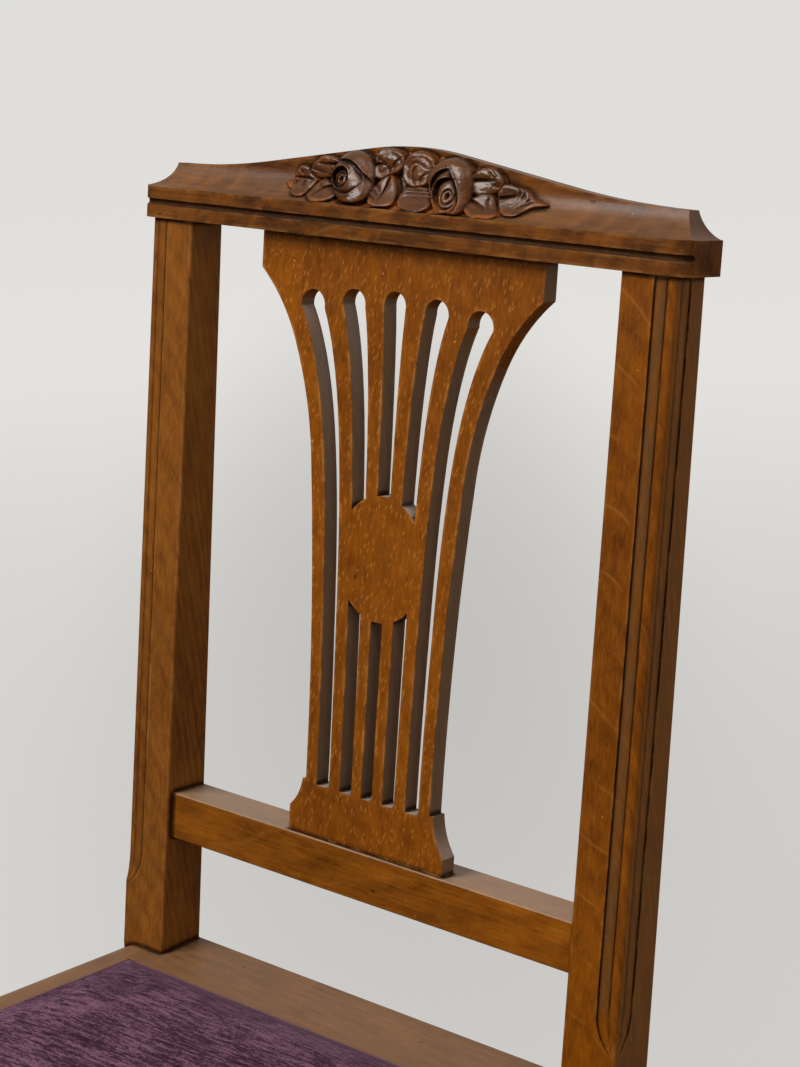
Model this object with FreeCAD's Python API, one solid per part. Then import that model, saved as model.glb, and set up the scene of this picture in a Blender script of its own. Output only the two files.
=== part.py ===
import FreeCAD, Part
import math
import os

from FreeCAD import Vector

# Side chair with a raked open back, a pierced fan splat, a carved crest and a stuffed seat.
# Millimetres. Z is up, X runs to the right as seen from the front, Y runs to the back.
# The origin is on the floor, under the middle of the chair's outer box.

# Overall heights and widths
seat_height = 440.0               # floor to the top of the seat frame
seat_depth = 400.0                # front of the front rail to the back of the rear rail
seat_rear_width = 376.4           # outside the rear legs
seat_front_width = 435.0          # outside the front legs
leg_kick = 42.0                   # how far the rear feet sweep out behind the seat frame

# Rear legs, which run up as the posts of the back
rake_angle = 5.3                  # degrees that the back leans from upright
post_width = 34.4
post_depth_seat = 34.6
post_depth_top = 26.1
rear_foot_depth = 28.0

# Reeded corner of a post, with its pointed stop above the seat
reed_width = 7.6                  # one of three reeds, the middle one on the corner
quirk_depth = 1.0                 # step from the flat face down to a reed
side_reed_rise = 0.85             # how far an outer reed's crown stands over its edges
corner_reed_rise = 2.9            # the same for the reed on the corner
stop_start = 62.0                 # height over the seat where the reeds begin to close in
stop_radius = 28.2                # of the curve that a quirk takes from there to the corner
stop_point_gap = 0.14             # how far outside the corner the reeds' lines would meet
stop_end_share = 0.03             # of the reeds' size, left where the cutter ends off the corner
stop_step_count = 6

# Crest rail
crest_underside = 460.0           # up the rake, from the seat frame's top
crest_length = 390.4
crest_front_overhang = 2.9
crest_rear_overhang = 2.8
fascia_height = 18.6
fascia_ledge = 1.2                # flat between the fascia's arris and the hollow
fascia_corner_radius = 10.5
crest_top_length = 364.0          # length of the thin upper edge, between the end hollows
end_hollow_share = 0.36           # how far in an end hollow passes; a half would be straight
crest_end_height = 32.8
crest_centre_height = 53.4
crest_hollow_height = 17.0        # height of the hollow over the fascia
crest_edge_front = 15.6           # post face to the front of the thin upper edge
crest_edge_thickness = 8.2
crown_half = 29.0                 # rounded crown, each side of the middle
flank_reach = 104.0               # middle to where the straight flank turns hollow
crown_rise = 2.3                  # drop of the top line over the crown
fascia_groove_radius = 1.85
fascia_groove_height = 9.4        # middle of the groove over the underside
groove_wrap_angle = 62.0          # degrees that the groove turns round each corner

# Lower rail of the back
lower_rail_bottom = 76.5          # up the rake, from the seat frame's top
lower_rail_height = 29.2
lower_rail_setback = 4.4

# Splat
splat_setback = 6.6
splat_thickness = 11.0
splat_top_width = 203.2
splat_waist_width = 94.0
splat_base_width = 117.0
splat_head_height = 22.0          # upright edge under the crest
ear_height_left = 15.6
ear_height_right = 10.6
ear_step = 2.5                    # square step over each ear
ear_top_height = 33.9             # step over the lower rail
ear_hollow = 1.4                  # how far the ear's edge curves in
slot_floor_height = 32.0          # bottom of the slots over the lower rail
medallion_width = 64.6
medallion_height = 73.6

waist_rise = 2.9                  # waist over the ears' step
slot_top_gaps = (26.6, 28.1, 31.5)  # crest down to the slots' heads, from the middle out
medallion_height_share = 0.493    # its middle, between the lower rail and the crest
# Shares of the way from the waist up to the shoulder, and from its half width to the top's
flare_height_shares = (0.643, 0.868)
flare_width_shares = (0.1685, 0.480)
# Inner and outer edges of the slots, as shares of the splat's half width at the same height
slot_edge_shares = ((-0.088, 0.088), (0.248, 0.440), (0.615, 0.825))
slot_lean_share = 0.10            # how far a slot's round top leans outwards, of its width

# Seat frame
rail_height = 45.0
rail_width = 42.0                 # side and front rails, in plan
side_border = 24.6                # wood left bare outside the upholstery
rear_border = 52.3
rear_rebate = 15.0                # rear rail's ledge under the upholstery
frame_edge_radius = 13.0          # rounded upper edge of the seat frame
rebate_depth = 6.0

# Front legs
front_foot_size = 26.0

# Joints
tenon_thickness = 10.0
seat_tenon_height = 26.0
front_leg_tenon_length = 15.0
rear_leg_tenon_length = 16.0
rear_leg_cross_tenon_length = 15.0
back_tenon_length = 18.0
back_tenon_height = 19.0
post_tenon_width = 20.0
post_tenon_length = 15.0
splat_tongue_thickness = 7.0
splat_tongue_length = 8.0
splat_tenon_length = 11.0
splat_shoulder = 6.0
joint_clearance = 0.1             # each side of a tenon
joint_end_gap = 1.0               # glue space past a tenon's end
arris_chamfer = 0.7               # eased edges

# Corner blocks and their screws
block_reach = 48.0                # along each rail
block_height = 28.0
block_drop = 9.0                  # top of a block under the seat frame's top
block_tip = 6.0                   # blunted tips
screw_radius = 2.0
screw_head_radius = 4.0
screw_head_height = 2.6
screw_length = 40.0
screw_spacing = 22.0
screw_clearance = 0.05
screw_facet_count = 8

# Webbing, hessian and tacks
strap_width = 58.0
strap_thickness = 1.2
strap_count = 4
strap_end_gap = 3.0               # strap's end to the rebate's wall
lengthwise_pitch = 74.0
hessian_thickness = 0.8
hessian_edge_gap = 2.0
tack_head_radius = 3.0
tack_head_thickness = 0.6
tack_shank_width = 1.6
tack_shank_length = 11.0
tack_tip_width = 0.5
tack_inset = 6.0                  # tack to the strap's end
tack_spacing = 32.0
tack_count = 2                    # at each end of a strap
tack_clearance = 0.05
tack_facet_count = 6

# Stuffed seat
gimp_width = 12.0
gimp_thickness = 1.4
gimp_edge_gap = 0.3
crown_height = 31.0               # top of the seat over the seat frame
cover_thickness = 1.2
calico_thickness = 0.6
soft_gap = 0.3                    # between one layer and the next
seat_corner_radius = 26.0
side_draw_in = 2.5                # how far each side of the seat is drawn in at its middle
# Each ring of the crown: inset as a share of the seat's half span, height as a share of the crown,
# and how much of the draw in its sides keep
crown_ring_shares = ((0.0, 0.0, 1.0), (0.014, 0.30, 1.0), (0.075, 0.58, 0.0), (0.20, 0.80, 0.0),
                     (0.45, 0.95, 0.0), (0.78, 1.0, 0.0))

overrun = 5.0                     # how far a cutter passes through a face

# Values that follow from those sizes
rake = math.radians(rake_angle)
outer_half = seat_rear_width / 2
inner_half = outer_half - post_width
front_reach = seat_depth - post_depth_seat
rear_reach = post_depth_seat + leg_kick
back_plane_y = (front_reach - rear_reach) / 2
splay = (seat_front_width - seat_rear_width) / 2 / front_reach
leg_inner_x = seat_front_width / 2 - rail_width
leg_rear_y = rail_width - front_reach
lower_rail_top = lower_rail_bottom + lower_rail_height
opening_height = crest_underside - lower_rail_top
crest_rear = post_depth_top + crest_rear_overhang
strap_base = -rebate_depth
hessian_base = strap_base + 2 * strap_thickness
layer_base = hessian_base + hessian_thickness
velvet_base = layer_base + calico_thickness
gimp_base = velvet_base + cover_thickness


def prism(points, direction):
    """A polygon's face, drawn out along a direction."""
    wire = Part.makePolygon(list(points) + [points[0]])
    return Part.Face(wire).extrude(direction)


def edge_prism(edges, direction):
    """A face bounded by joined edges, drawn out along a direction."""
    wire = Part.Wire(Part.__sortEdges__(edges))
    return Part.Face(wire).extrude(direction)


def block(low, high):
    """A box between two opposite corners."""
    size = high - low
    return Part.makeBox(size.x, size.y, size.z, low)


def line(start, end):
    return Part.LineSegment(start, end).toShape()


def arc(start, middle, end):
    return Part.Arc(start, middle, end).toShape()


def mirrored(shape):
    return shape.mirror(Vector(0, 0, 0), Vector(1, 0, 0))


def between_rings(low, high):
    """Faces from one ring up to the next, flat where both have straight sides."""
    faces = []
    for lower, upper in zip(low.Edges, high.Edges):
        corners = [vertex.Point for vertex in lower.Vertexes] + [vertex.Point for vertex in upper.Vertexes][::-1]
        straight = lower.Curve.TypeId == upper.Curve.TypeId == "Part::GeomLine"
        if straight:
            faces.append(Part.Face(Part.makePolygon(corners + [corners[0]])))
        else:
            faces.append(Part.makeRuledSurface(lower, upper))
    return faces


def ringed_solid(rings):
    """A solid through flat rings with the same number of edges."""
    faces = [Part.Face(rings[0]), Part.Face(rings[-1])]
    for low, high in zip(rings, rings[1:]):
        faces += between_rings(low, high)
    solid = Part.Solid(Part.Shell(faces))
    if solid.Volume < 0:
        solid.reverse()
    return solid


def in_seat_frame(shape):
    """Places a shape drawn from the posts' front face at the seat frame's top."""
    placed = shape.copy()
    placed.translate(Vector(0, back_plane_y, seat_height))
    return placed


def in_back_frame(shape):
    """Leans a shape drawn upright, from the same point, back by the rake."""
    placed = shape.copy()
    placed.rotate(Vector(0, 0, 0), Vector(1, 0, 0), -rake_angle)
    return in_seat_frame(placed)


def raked(depth, height):
    """Seat-frame Y and Z of a point of the leaning back."""
    y = depth * math.cos(rake) + height * math.sin(rake)
    z = height * math.cos(rake) - depth * math.sin(rake)
    return y, z


def post_depth(height):
    """Depth of a post at a height up the rake."""
    return post_depth_seat + (post_depth_top - post_depth_seat) * height / crest_underside


def outer_x(y):
    """Outside of the seat frame at a depth in front of the posts."""
    return outer_half - splay * y


def eased(shape, picks):
    """Takes the sharpness off the edges that pass a test."""
    return shape.makeChamfer(arris_chamfer, [edge for edge in shape.Edges if picks(edge)])


def runs_along(edge, axis):
    """Whether an edge runs along X, Y or Z, within a few degrees."""
    span = edge.Vertexes[-1].Point - edge.Vertexes[0].Point
    return span.Length > post_width and abs(span.dot(axis)) > span.Length * math.cos(rake * 2)


# Joints: each tenon and its mortise come from the same box

def tenon_pair(low, high, grown_axes, end_axis, end_sign):
    """A tenon's box, and the mortise cut for it with its clearance and glue space."""
    side = Vector(*[joint_clearance * share for share in grown_axes])
    end = end_axis * joint_end_gap
    mortise_low = low - side
    mortise_high = high + side
    if end_sign > 0:
        mortise_high = mortise_high + end
    else:
        mortise_low = mortise_low - end
    return block(low, high), block(mortise_low, mortise_high)


def seat_tenon_heights():
    middle = -rail_height / 2 - rebate_depth / 2
    return middle - seat_tenon_height / 2, middle + seat_tenon_height / 2


def side_rail_rear_joint():
    """Right side rail's tenon into the rear leg's front face."""
    low_z, high_z = seat_tenon_heights()
    middle = outer_half - post_width / 2
    low = Vector(middle - tenon_thickness / 2, 0, low_z)
    high = Vector(middle + tenon_thickness / 2, rear_leg_tenon_length, high_z)
    return tenon_pair(low, high, (1, 0, 1), Vector(0, 1, 0), 1)


def side_rail_front_joint():
    """Right side rail's tenon into the front leg's back face."""
    low_z, high_z = seat_tenon_heights()
    middle = leg_inner_x + rail_width / 2
    low = Vector(middle - tenon_thickness / 2, leg_rear_y - front_leg_tenon_length, low_z)
    high = Vector(middle + tenon_thickness / 2, leg_rear_y, high_z)
    return tenon_pair(low, high, (1, 0, 1), Vector(0, 1, 0), -1)


def front_rail_joint():
    """Front rail's tenon into the right front leg's inner face."""
    low_z, high_z = seat_tenon_heights()
    middle = leg_rear_y - rail_width / 2
    low = Vector(leg_inner_x, middle - tenon_thickness / 2, low_z)
    high = Vector(leg_inner_x + front_leg_tenon_length, middle + tenon_thickness / 2, high_z)
    return tenon_pair(low, high, (0, 1, 1), Vector(1, 0, 0), 1)


def rear_rail_joint():
    """Rear rail's tenon into the right rear leg's inner face, behind the side rail's."""
    low_z, high_z = seat_tenon_heights()
    near = rear_leg_tenon_length + joint_end_gap * 2
    low = Vector(inner_half, near, low_z)
    high = Vector(inner_half + rear_leg_cross_tenon_length, near + tenon_thickness, high_z)
    return tenon_pair(low, high, (0, 1, 1), Vector(1, 0, 0), 1)


def lower_rail_joint():
    """Lower back rail's tenon into the right post, in the leaning back."""
    middle = lower_rail_bottom + lower_rail_height / 2
    depth = (lower_rail_setback + post_depth(middle)) / 2
    low = Vector(inner_half, depth - tenon_thickness / 2, middle - back_tenon_height / 2)
    high = Vector(inner_half + back_tenon_length, depth + tenon_thickness / 2, middle + back_tenon_height / 2)
    return tenon_pair(low, high, (0, 1, 1), Vector(1, 0, 0), 1)


def post_top_joint():
    """Right post's tenon up into the crest rail."""
    middle = outer_half - post_width / 2
    near = (post_depth_top - tenon_thickness) / 2
    low = Vector(middle - post_tenon_width / 2, near, crest_underside)
    high = Vector(middle + post_tenon_width / 2, near + tenon_thickness, crest_underside + post_tenon_length)
    return tenon_pair(low, high, (1, 1, 0), Vector(0, 0, 1), 1)


def splat_depths():
    """Front and back of the splat's tongues."""
    near = splat_setback + (splat_thickness - splat_tongue_thickness) / 2
    return near, near + splat_tongue_thickness


def splat_top_joint():
    """Splat's tongue in the groove under the crest rail."""
    near, far = splat_depths()
    half = splat_top_width / 2 - splat_shoulder
    low = Vector(-half, near, crest_underside)
    high = Vector(half, far, crest_underside + splat_tongue_length)
    return tenon_pair(low, high, (1, 1, 0), Vector(0, 0, 1), 1)


def splat_bottom_joint():
    """Splat's tenon down into the lower rail."""
    near, far = splat_depths()
    half = splat_base_width / 2 - splat_shoulder
    low = Vector(-half, near, lower_rail_top - splat_tenon_length)
    high = Vector(half, far, lower_rail_top)
    return tenon_pair(low, high, (1, 1, 0), Vector(0, 0, 1), -1)


# Rear legs

def swept_edge(start_y, foot_y):
    """A leg's face below the seat frame: one curve out of the upright, down to the foot."""
    drop = seat_height - rail_height
    sweep = 2 * math.atan((foot_y - start_y) / drop)
    radius = drop / math.sin(sweep)
    middle_y = start_y + radius * (1 - math.cos(sweep / 2))
    start = Vector(0, start_y, -rail_height)
    foot = Vector(0, foot_y, -seat_height)
    return arc(start, Vector(0, middle_y, -rail_height - radius * math.sin(sweep / 2)), foot), start, foot


def leg_blank():
    """The right rear leg's side outline, sawn from a board as thick as the post is wide."""
    front_edge, front_top, front_foot = swept_edge(0, rear_reach - rear_foot_depth)
    rear_edge, rear_top, rear_foot = swept_edge(post_depth_seat, rear_reach)
    seat_front = Vector(0, 0, 0)
    seat_rear = Vector(0, post_depth_seat, 0)
    top_front = Vector(0, *raked(0, crest_underside))
    top_rear = Vector(0, *raked(post_depth_top, crest_underside))
    edges = [front_edge, rear_edge, line(front_foot, rear_foot), line(front_top, seat_front)]
    edges += [line(seat_front, top_front)]
    edges += [line(top_front, top_rear), line(top_rear, seat_rear), line(seat_rear, rear_top)]
    blank = edge_prism(edges, Vector(post_width, 0, 0))
    blank.translate(Vector(inner_half, 0, 0))
    return eased(blank, lambda edge: runs_along(edge, Vector(0, 0, 1)))


def reed_reach():
    """How far the reeds reach over each face from the corner."""
    return quirk_depth + reed_width / math.sqrt(2) + reed_width


def reed_wire():
    """Outline of the cut at the corner: three reeds between two quirks, open beyond the corner."""
    shift = Vector(outer_half, 0, 0)

    def at(inward, depth):
        return shift + Vector(-inward, depth, 0)

    near = quirk_depth
    far = quirk_depth + reed_width / math.sqrt(2)
    end = reed_reach()
    side_middle = (far + end) / 2
    side_crown = quirk_depth - side_reed_rise
    crown = (near + far) / 2 - corner_reed_rise / math.sqrt(2)
    return Part.Wire([line(at(end, 0), at(end, near)), arc(at(end, near), at(side_middle, side_crown), at(far, near)),
                      arc(at(far, near), at(crown, crown), at(near, far)),
                      arc(at(near, far), at(side_crown, side_middle), at(near, end)),
                      line(at(near, end), at(0, end)), line(at(0, end), at(-overrun, end)),
                      line(at(-overrun, end), at(-overrun, -overrun)),
                      line(at(-overrun, -overrun), at(end, -overrun)), line(at(end, -overrun), at(end, 0))])


def stop_rings():
    """The reeds' outline on its way down to the corner, smaller at each step."""
    meeting = Vector(outer_half + stop_point_gap, -stop_point_gap, 0)
    last_angle = math.acos(1 - (1 - stop_end_share) * reed_reach() / stop_radius)
    rings = []
    for index in range(stop_step_count + 1):
        angle = last_angle * index / stop_step_count
        ring = reed_wire()
        ring.scale(1 - stop_radius * (1 - math.cos(angle)) / reed_reach(), meeting)
        ring.translate(Vector(0, 0, stop_start - stop_radius * math.sin(angle)))
        rings.append(ring)
    return rings


def reed_cutters():
    """The corner's cutters: straight under the crest, then closing in to a point at the stop."""
    rings = stop_rings()
    run = Part.Face(rings[0]).extrude(Vector(0, 0, crest_underside - stop_start + overrun))
    return [run, Part.makeLoft(rings, True, False)]


def rear_leg():
    """The right rear leg and post in one piece."""
    leg = in_seat_frame(leg_blank())
    for cutter in reed_cutters():
        leg = leg.cut(in_back_frame(cutter))
    leg = leg.fuse(in_back_frame(post_top_joint()[0]))
    mortises = [in_back_frame(lower_rail_joint()[1]), in_seat_frame(rear_rail_joint()[1]),
                in_seat_frame(side_rail_rear_joint()[1])]
    for mortise in mortises:
        leg = leg.cut(mortise)
    return leg.removeSplitter()


# Crest rail

def top_line():
    """Points of the crest's serpentine upper edge, from the middle to the right end."""
    end_half = crest_top_length / 2
    fall = crest_centre_height - crest_end_height
    slope = 2 * crown_rise / crown_half
    flank_drop = crown_rise + slope * (flank_reach - crown_half)
    shoulder_drop = fall - flank_drop
    crown = [Vector(0, 0, crest_centre_height),
             Vector(crown_half / 2, 0, crest_centre_height - crown_rise / 4),
             Vector(crown_half, 0, crest_centre_height - crown_rise)]
    flank = Vector(flank_reach, 0, crest_centre_height - flank_drop)
    middle = Vector((flank_reach + end_half) / 2, 0, crest_end_height + shoulder_drop / 4)
    return crown, flank, middle, Vector(end_half, 0, crest_end_height)


def crest_front_shape():
    """The crest's front outline, with a hollow at each end over the fascia."""
    half = crest_length / 2
    crown, flank, shoulder, end = top_line()
    hollow_x = half - fascia_ledge
    run = hollow_x - end.x
    rise = crest_end_height - fascia_height
    foot = Vector(hollow_x, 0, fascia_height)
    hollow_middle = Vector(end.x + run * end_hollow_share, 0, fascia_height + rise * end_hollow_share)
    right = [arc(*crown), line(crown[-1], flank), arc(flank, shoulder, end), arc(end, hollow_middle, foot),
             line(foot, Vector(half, 0, fascia_height)), line(Vector(half, 0, fascia_height), Vector(half, 0, 0)),
             line(Vector(half, 0, 0), Vector(0, 0, 0))]
    face = Part.Face(Part.Wire(Part.__sortEdges__(right + [line(Vector(0, 0, 0), crown[0])])))
    solid = face.extrude(Vector(0, seat_depth, 0))
    solid.translate(Vector(0, -seat_depth / 2, 0))
    return solid.fuse(mirrored(solid)).removeSplitter()


def crest_side_shape():
    """The crest's cross-section: fascia, hollow and a thinner upper edge."""
    front = -crest_front_overhang
    ledge = front + fascia_ledge
    hollow_top = fascia_height + crest_hollow_height
    run = crest_edge_front - ledge
    mid_share = 1 - math.sqrt(0.5)
    edge_rear = crest_edge_front + crest_edge_thickness
    top = crest_centre_height + overrun

    def at(depth, height):
        return Vector(0, depth, height)

    edges = [line(at(front, 0), at(front, fascia_height)), line(at(front, fascia_height), at(ledge, fascia_height)),
             arc(at(ledge, fascia_height),
                 at(crest_edge_front - run * mid_share, fascia_height + crest_hollow_height * mid_share),
                 at(crest_edge_front, hollow_top)),
             line(at(crest_edge_front, hollow_top), at(crest_edge_front, top)),
             line(at(crest_edge_front, top), at(edge_rear, top)), line(at(edge_rear, top), at(edge_rear, hollow_top)),
             line(at(edge_rear, hollow_top), at(crest_rear, fascia_height)),
             line(at(crest_rear, fascia_height), at(crest_rear, 0)), line(at(crest_rear, 0), at(front, 0))]
    solid = edge_prism(edges, Vector(crest_length * 2, 0, 0))
    solid.translate(Vector(-crest_length, 0, 0))
    return solid


def crest_plan_shape():
    """The fascia's plan, with its front corners rounded."""
    depth = crest_rear + crest_front_overhang
    low = Vector(-crest_length / 2, -crest_front_overhang, 0)
    solid = Part.makeBox(crest_length, depth, crest_centre_height + overrun, low)
    corners = [edge for edge in solid.Edges if abs(edge.tangentAt(edge.FirstParameter).z) > 0.5
               and edge.CenterOfMass.y < 0]
    return solid.makeFillet(fascia_corner_radius, corners)


def fascia_groove():
    """Round groove along the fascia, turned round both front corners to a round stop."""
    centre_x = crest_length / 2 - fascia_corner_radius
    centre_y = fascia_corner_radius - crest_front_overhang
    start = Vector(0, -crest_front_overhang, fascia_groove_height)
    groove = Part.makeCylinder(fascia_groove_radius, centre_x, start, Vector(1, 0, 0))
    turn = math.radians(groove_wrap_angle)
    section = Part.Face(Part.Wire(Part.makeCircle(fascia_groove_radius, start + Vector(centre_x, 0, 0),
                                                  Vector(1, 0, 0))))
    bend = section.revolve(Vector(centre_x, centre_y, 0), Vector(0, 0, 1), groove_wrap_angle)
    stop = Vector(centre_x + fascia_corner_radius * math.sin(turn),
                  centre_y - fascia_corner_radius * math.cos(turn), fascia_groove_height)
    ball = Part.makeSphere(fascia_groove_radius, stop)
    half = groove.fuse([bend, ball])
    return half.fuse(mirrored(half)).removeSplitter()


def crest_rail():
    crest = crest_front_shape().common(crest_side_shape()).common(crest_plan_shape())
    crest = crest.cut(fascia_groove())
    crest.translate(Vector(0, 0, crest_underside))
    post_mortise = post_top_joint()[1]
    for mortise in (post_mortise, mirrored(post_mortise), splat_top_joint()[1]):
        crest = crest.cut(mortise)
    return in_back_frame(crest)


# Splat

def flare_stations():
    """Half widths and heights that the splat's edge passes, from the waist to the shoulder."""
    waist = splat_waist_width / 2
    spread = splat_top_width / 2 - waist
    low = lower_rail_top + ear_top_height + waist_rise
    high = crest_underside - splat_head_height
    stations = [(waist, low)]
    for width_share, height_share in zip(flare_width_shares, flare_height_shares):
        stations.append((waist + width_share * spread, low + height_share * (high - low)))
    stations.append((splat_top_width / 2, high))
    return stations


def tangent_run(start, heading, end):
    """Radius and final heading of the arc that leaves start at a heading and passes end."""
    run = end[0] - start[0]
    rise = end[1] - start[1]
    chord_heading = math.atan2(run, rise)
    turn = 2 * (chord_heading - heading)
    radius = math.hypot(run, rise) / (2 * math.sin(turn / 2))
    return radius, heading + turn


def flare_arcs():
    """The splat's edge as arcs, each tangent to the one before: start, heading, radius, end."""
    stations = flare_stations()
    heading = 0.0
    runs = []
    for start, end in zip(stations, stations[1:]):
        radius, next_heading = tangent_run(start, heading, end)
        runs.append((start, heading, radius, end))
        heading = next_heading
    return runs


def flare_point(run, height):
    """Half width of the splat on one of its arcs, at a height."""
    start, heading, radius, _ = run
    sine = math.sin(heading) + (height - start[1]) / radius
    return start[0] + radius * (math.cos(heading) - math.sqrt(1 - sine * sine))


def splat_half_width(height):
    """Half width of the splat at a height, from its arcs."""
    runs = flare_arcs()
    if height <= runs[0][0][1]:
        return splat_waist_width / 2
    for run in runs:
        if height <= run[3][1]:
            return flare_point(run, height)
    return splat_top_width / 2


def splat_side_edges(ear_height):
    """The right edge of the splat, from the lower rail to the crest."""
    base = splat_base_width / 2
    waist = splat_waist_width / 2
    step_z = lower_rail_top + ear_top_height
    ear_z = lower_rail_top + ear_height

    def at(x, z):
        return Vector(x, 0, z)

    step_x = waist + ear_step
    ear_middle = at((step_x + base) / 2 - ear_hollow, (step_z + ear_z) / 2 - ear_hollow)
    edges = [line(at(base, lower_rail_top), at(base, ear_z)), arc(at(base, ear_z), ear_middle, at(step_x, step_z)),
             line(at(step_x, step_z), at(waist, step_z))]
    edges.append(line(at(waist, step_z), at(*flare_stations()[0])))
    for run in flare_arcs():
        middle = (run[0][1] + run[3][1]) / 2
        edges.append(arc(at(*run[0]), at(flare_point(run, middle), middle), at(*run[3])))
    edges.append(line(at(*flare_stations()[-1]), at(splat_top_width / 2, crest_underside)))
    return edges


def splat_blank():
    """The splat's board, with its ears as the two sides have them."""
    depth = Vector(0, splat_thickness, 0)
    closing = [line(Vector(0, 0, crest_underside), Vector(splat_top_width / 2, 0, crest_underside)),
               line(Vector(0, 0, lower_rail_top), Vector(splat_base_width / 2, 0, lower_rail_top)),
               line(Vector(0, 0, lower_rail_top), Vector(0, 0, crest_underside))]
    right = edge_prism(splat_side_edges(ear_height_right) + closing, depth)
    left = mirrored(edge_prism(splat_side_edges(ear_height_left) + closing, depth))
    return right.fuse(left).removeSplitter()


def slot_edge(share, heights, side):
    """One long edge of a slot, keeping its share of the splat's width as it fans out."""
    points = [Vector(side * share * splat_half_width(height), 0, height) for height in heights]
    curve = Part.BSplineCurve()
    curve.interpolate(points)
    return curve.toShape(), points[0], points[-1]


def slot_shape(edge_shares, top_gap, side):
    """A slot with a square foot and a round head."""
    inner_share, outer_share = edge_shares
    floor = lower_rail_top + slot_floor_height
    top = crest_underside - top_gap
    width = (outer_share - inner_share) * splat_half_width(top)
    spring = top - width / 2
    middle_heights = [station[1] for station in flare_stations()[:-1]]
    middle_heights.append((middle_heights[-1] + spring) / 2)
    middle_heights.append((middle_heights[0] + middle_heights[1]) / 2)
    heights = sorted([floor, spring] + middle_heights)
    inner, inner_foot, inner_head = slot_edge(inner_share, heights, side)
    outer, outer_foot, outer_head = slot_edge(outer_share, heights, side)
    lean = side * slot_lean_share * width * (inner_share + outer_share)
    crown = Vector((inner_head.x + outer_head.x) / 2 + lean, 0, top)
    edges = [inner, arc(inner_head, crown, outer_head), outer, line(outer_foot, inner_foot)]
    solid = edge_prism(edges, Vector(0, splat_thickness + overrun * 2, 0))
    solid.translate(Vector(0, -overrun, 0))
    return solid


def medallion_shape():
    """The oval left solid between the upper and the lower slots."""
    centre = Vector(0, 0, lower_rail_top + medallion_height_share * opening_height)
    oval = Part.Ellipse(centre + Vector(0, 0, medallion_height / 2), centre + Vector(medallion_width / 2, 0, 0),
                        centre)
    face = Part.Face(Part.Wire(oval.toShape()))
    solid = face.extrude(Vector(0, splat_thickness + overrun * 2, 0))
    solid.translate(Vector(0, -overrun, 0))
    return solid


def back_splat():
    splat = splat_blank()
    medallion = medallion_shape()
    for index, (edge_shares, top_gap) in enumerate(zip(slot_edge_shares, slot_top_gaps)):
        sides = (1,) if index == 0 else (1, -1)
        for side in sides:
            slot = slot_shape(edge_shares, top_gap, side)
            if index < len(slot_edge_shares) - 1:
                slot = slot.cut(medallion)
            splat = splat.cut(slot)
    splat.translate(Vector(0, splat_setback, 0))
    splat = splat.fuse([splat_top_joint()[0], splat_bottom_joint()[0]]).removeSplitter()
    return in_back_frame(splat)


# Lower rail of the back

def lower_back_rail():
    middle = lower_rail_bottom + lower_rail_height / 2
    low = Vector(-inner_half, lower_rail_setback, lower_rail_bottom)
    high = Vector(inner_half, post_depth(middle), lower_rail_top)
    rail = eased(block(low, high), lambda edge: runs_along(edge, Vector(1, 0, 0)))
    tenon = lower_rail_joint()[0]
    rail = rail.fuse([tenon, mirrored(tenon)]).cut(splat_bottom_joint()[1])
    return in_back_frame(rail.removeSplitter())


# Seat frame

def seat_envelope():
    """The seat frame's outer form, with its upper edge rounded at the sides and the front."""
    rear_x = outer_x(post_depth_seat)
    front_x = outer_x(-front_reach)
    plan = [Vector(rear_x, post_depth_seat, -seat_height), Vector(front_x, -front_reach, -seat_height),
            Vector(-front_x, -front_reach, -seat_height), Vector(-rear_x, post_depth_seat, -seat_height)]
    solid = prism(plan, Vector(0, 0, seat_height))
    picked = [edge for edge in solid.Edges if abs(edge.CenterOfMass.z) < arris_chamfer
              and edge.CenterOfMass.y < post_depth_seat / 2]
    return solid.makeFillet(frame_edge_radius, picked)


def rebate_outline(inset):
    """Corners of the upholstered area, inset from the rebate's wall."""
    rear_y = post_depth_seat - rear_border - inset
    front_y = side_border - front_reach + inset
    rear_x = outer_x(rear_y) - side_border - inset
    front_x = outer_x(front_y) - side_border - inset
    return [(rear_x, rear_y), (front_x, front_y), (-front_x, front_y), (-rear_x, rear_y)]


def rebate_shape(inset, low_z, high_z):
    """A slab over the upholstered area."""
    plan = [Vector(x, y, low_z) for x, y in rebate_outline(inset)]
    return prism(plan, Vector(0, 0, high_z - low_z))


def frame_piece(plan):
    """A seat frame member: its plan drawn up, rounded by the envelope and rebated."""
    solid = prism([Vector(x, y, -rail_height) for x, y in plan], Vector(0, 0, rail_height))
    solid = solid.common(seat_envelope())
    return solid.cut(rebate_shape(0, -rebate_depth, overrun))


def inner_x(y):
    """Inner face of a side rail at a depth in front of the posts."""
    return outer_x(y) - rail_width


def rear_rail_front():
    return post_depth_seat - rear_border - rear_rebate


def side_seat_rail():
    """The right side rail."""
    plan = [(outer_x(0), 0), (outer_x(leg_rear_y), leg_rear_y), (inner_x(leg_rear_y), leg_rear_y), (inner_x(0), 0)]
    rail = frame_piece(plan)
    rail = rail.fuse([side_rail_rear_joint()[0], side_rail_front_joint()[0]])
    return rail.removeSplitter()


def front_seat_rail():
    plan = [(-leg_inner_x, -front_reach), (leg_inner_x, -front_reach), (leg_inner_x, leg_rear_y),
            (-leg_inner_x, leg_rear_y)]
    tenon = front_rail_joint()[0]
    return frame_piece(plan).fuse([tenon, mirrored(tenon)]).removeSplitter()


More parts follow.
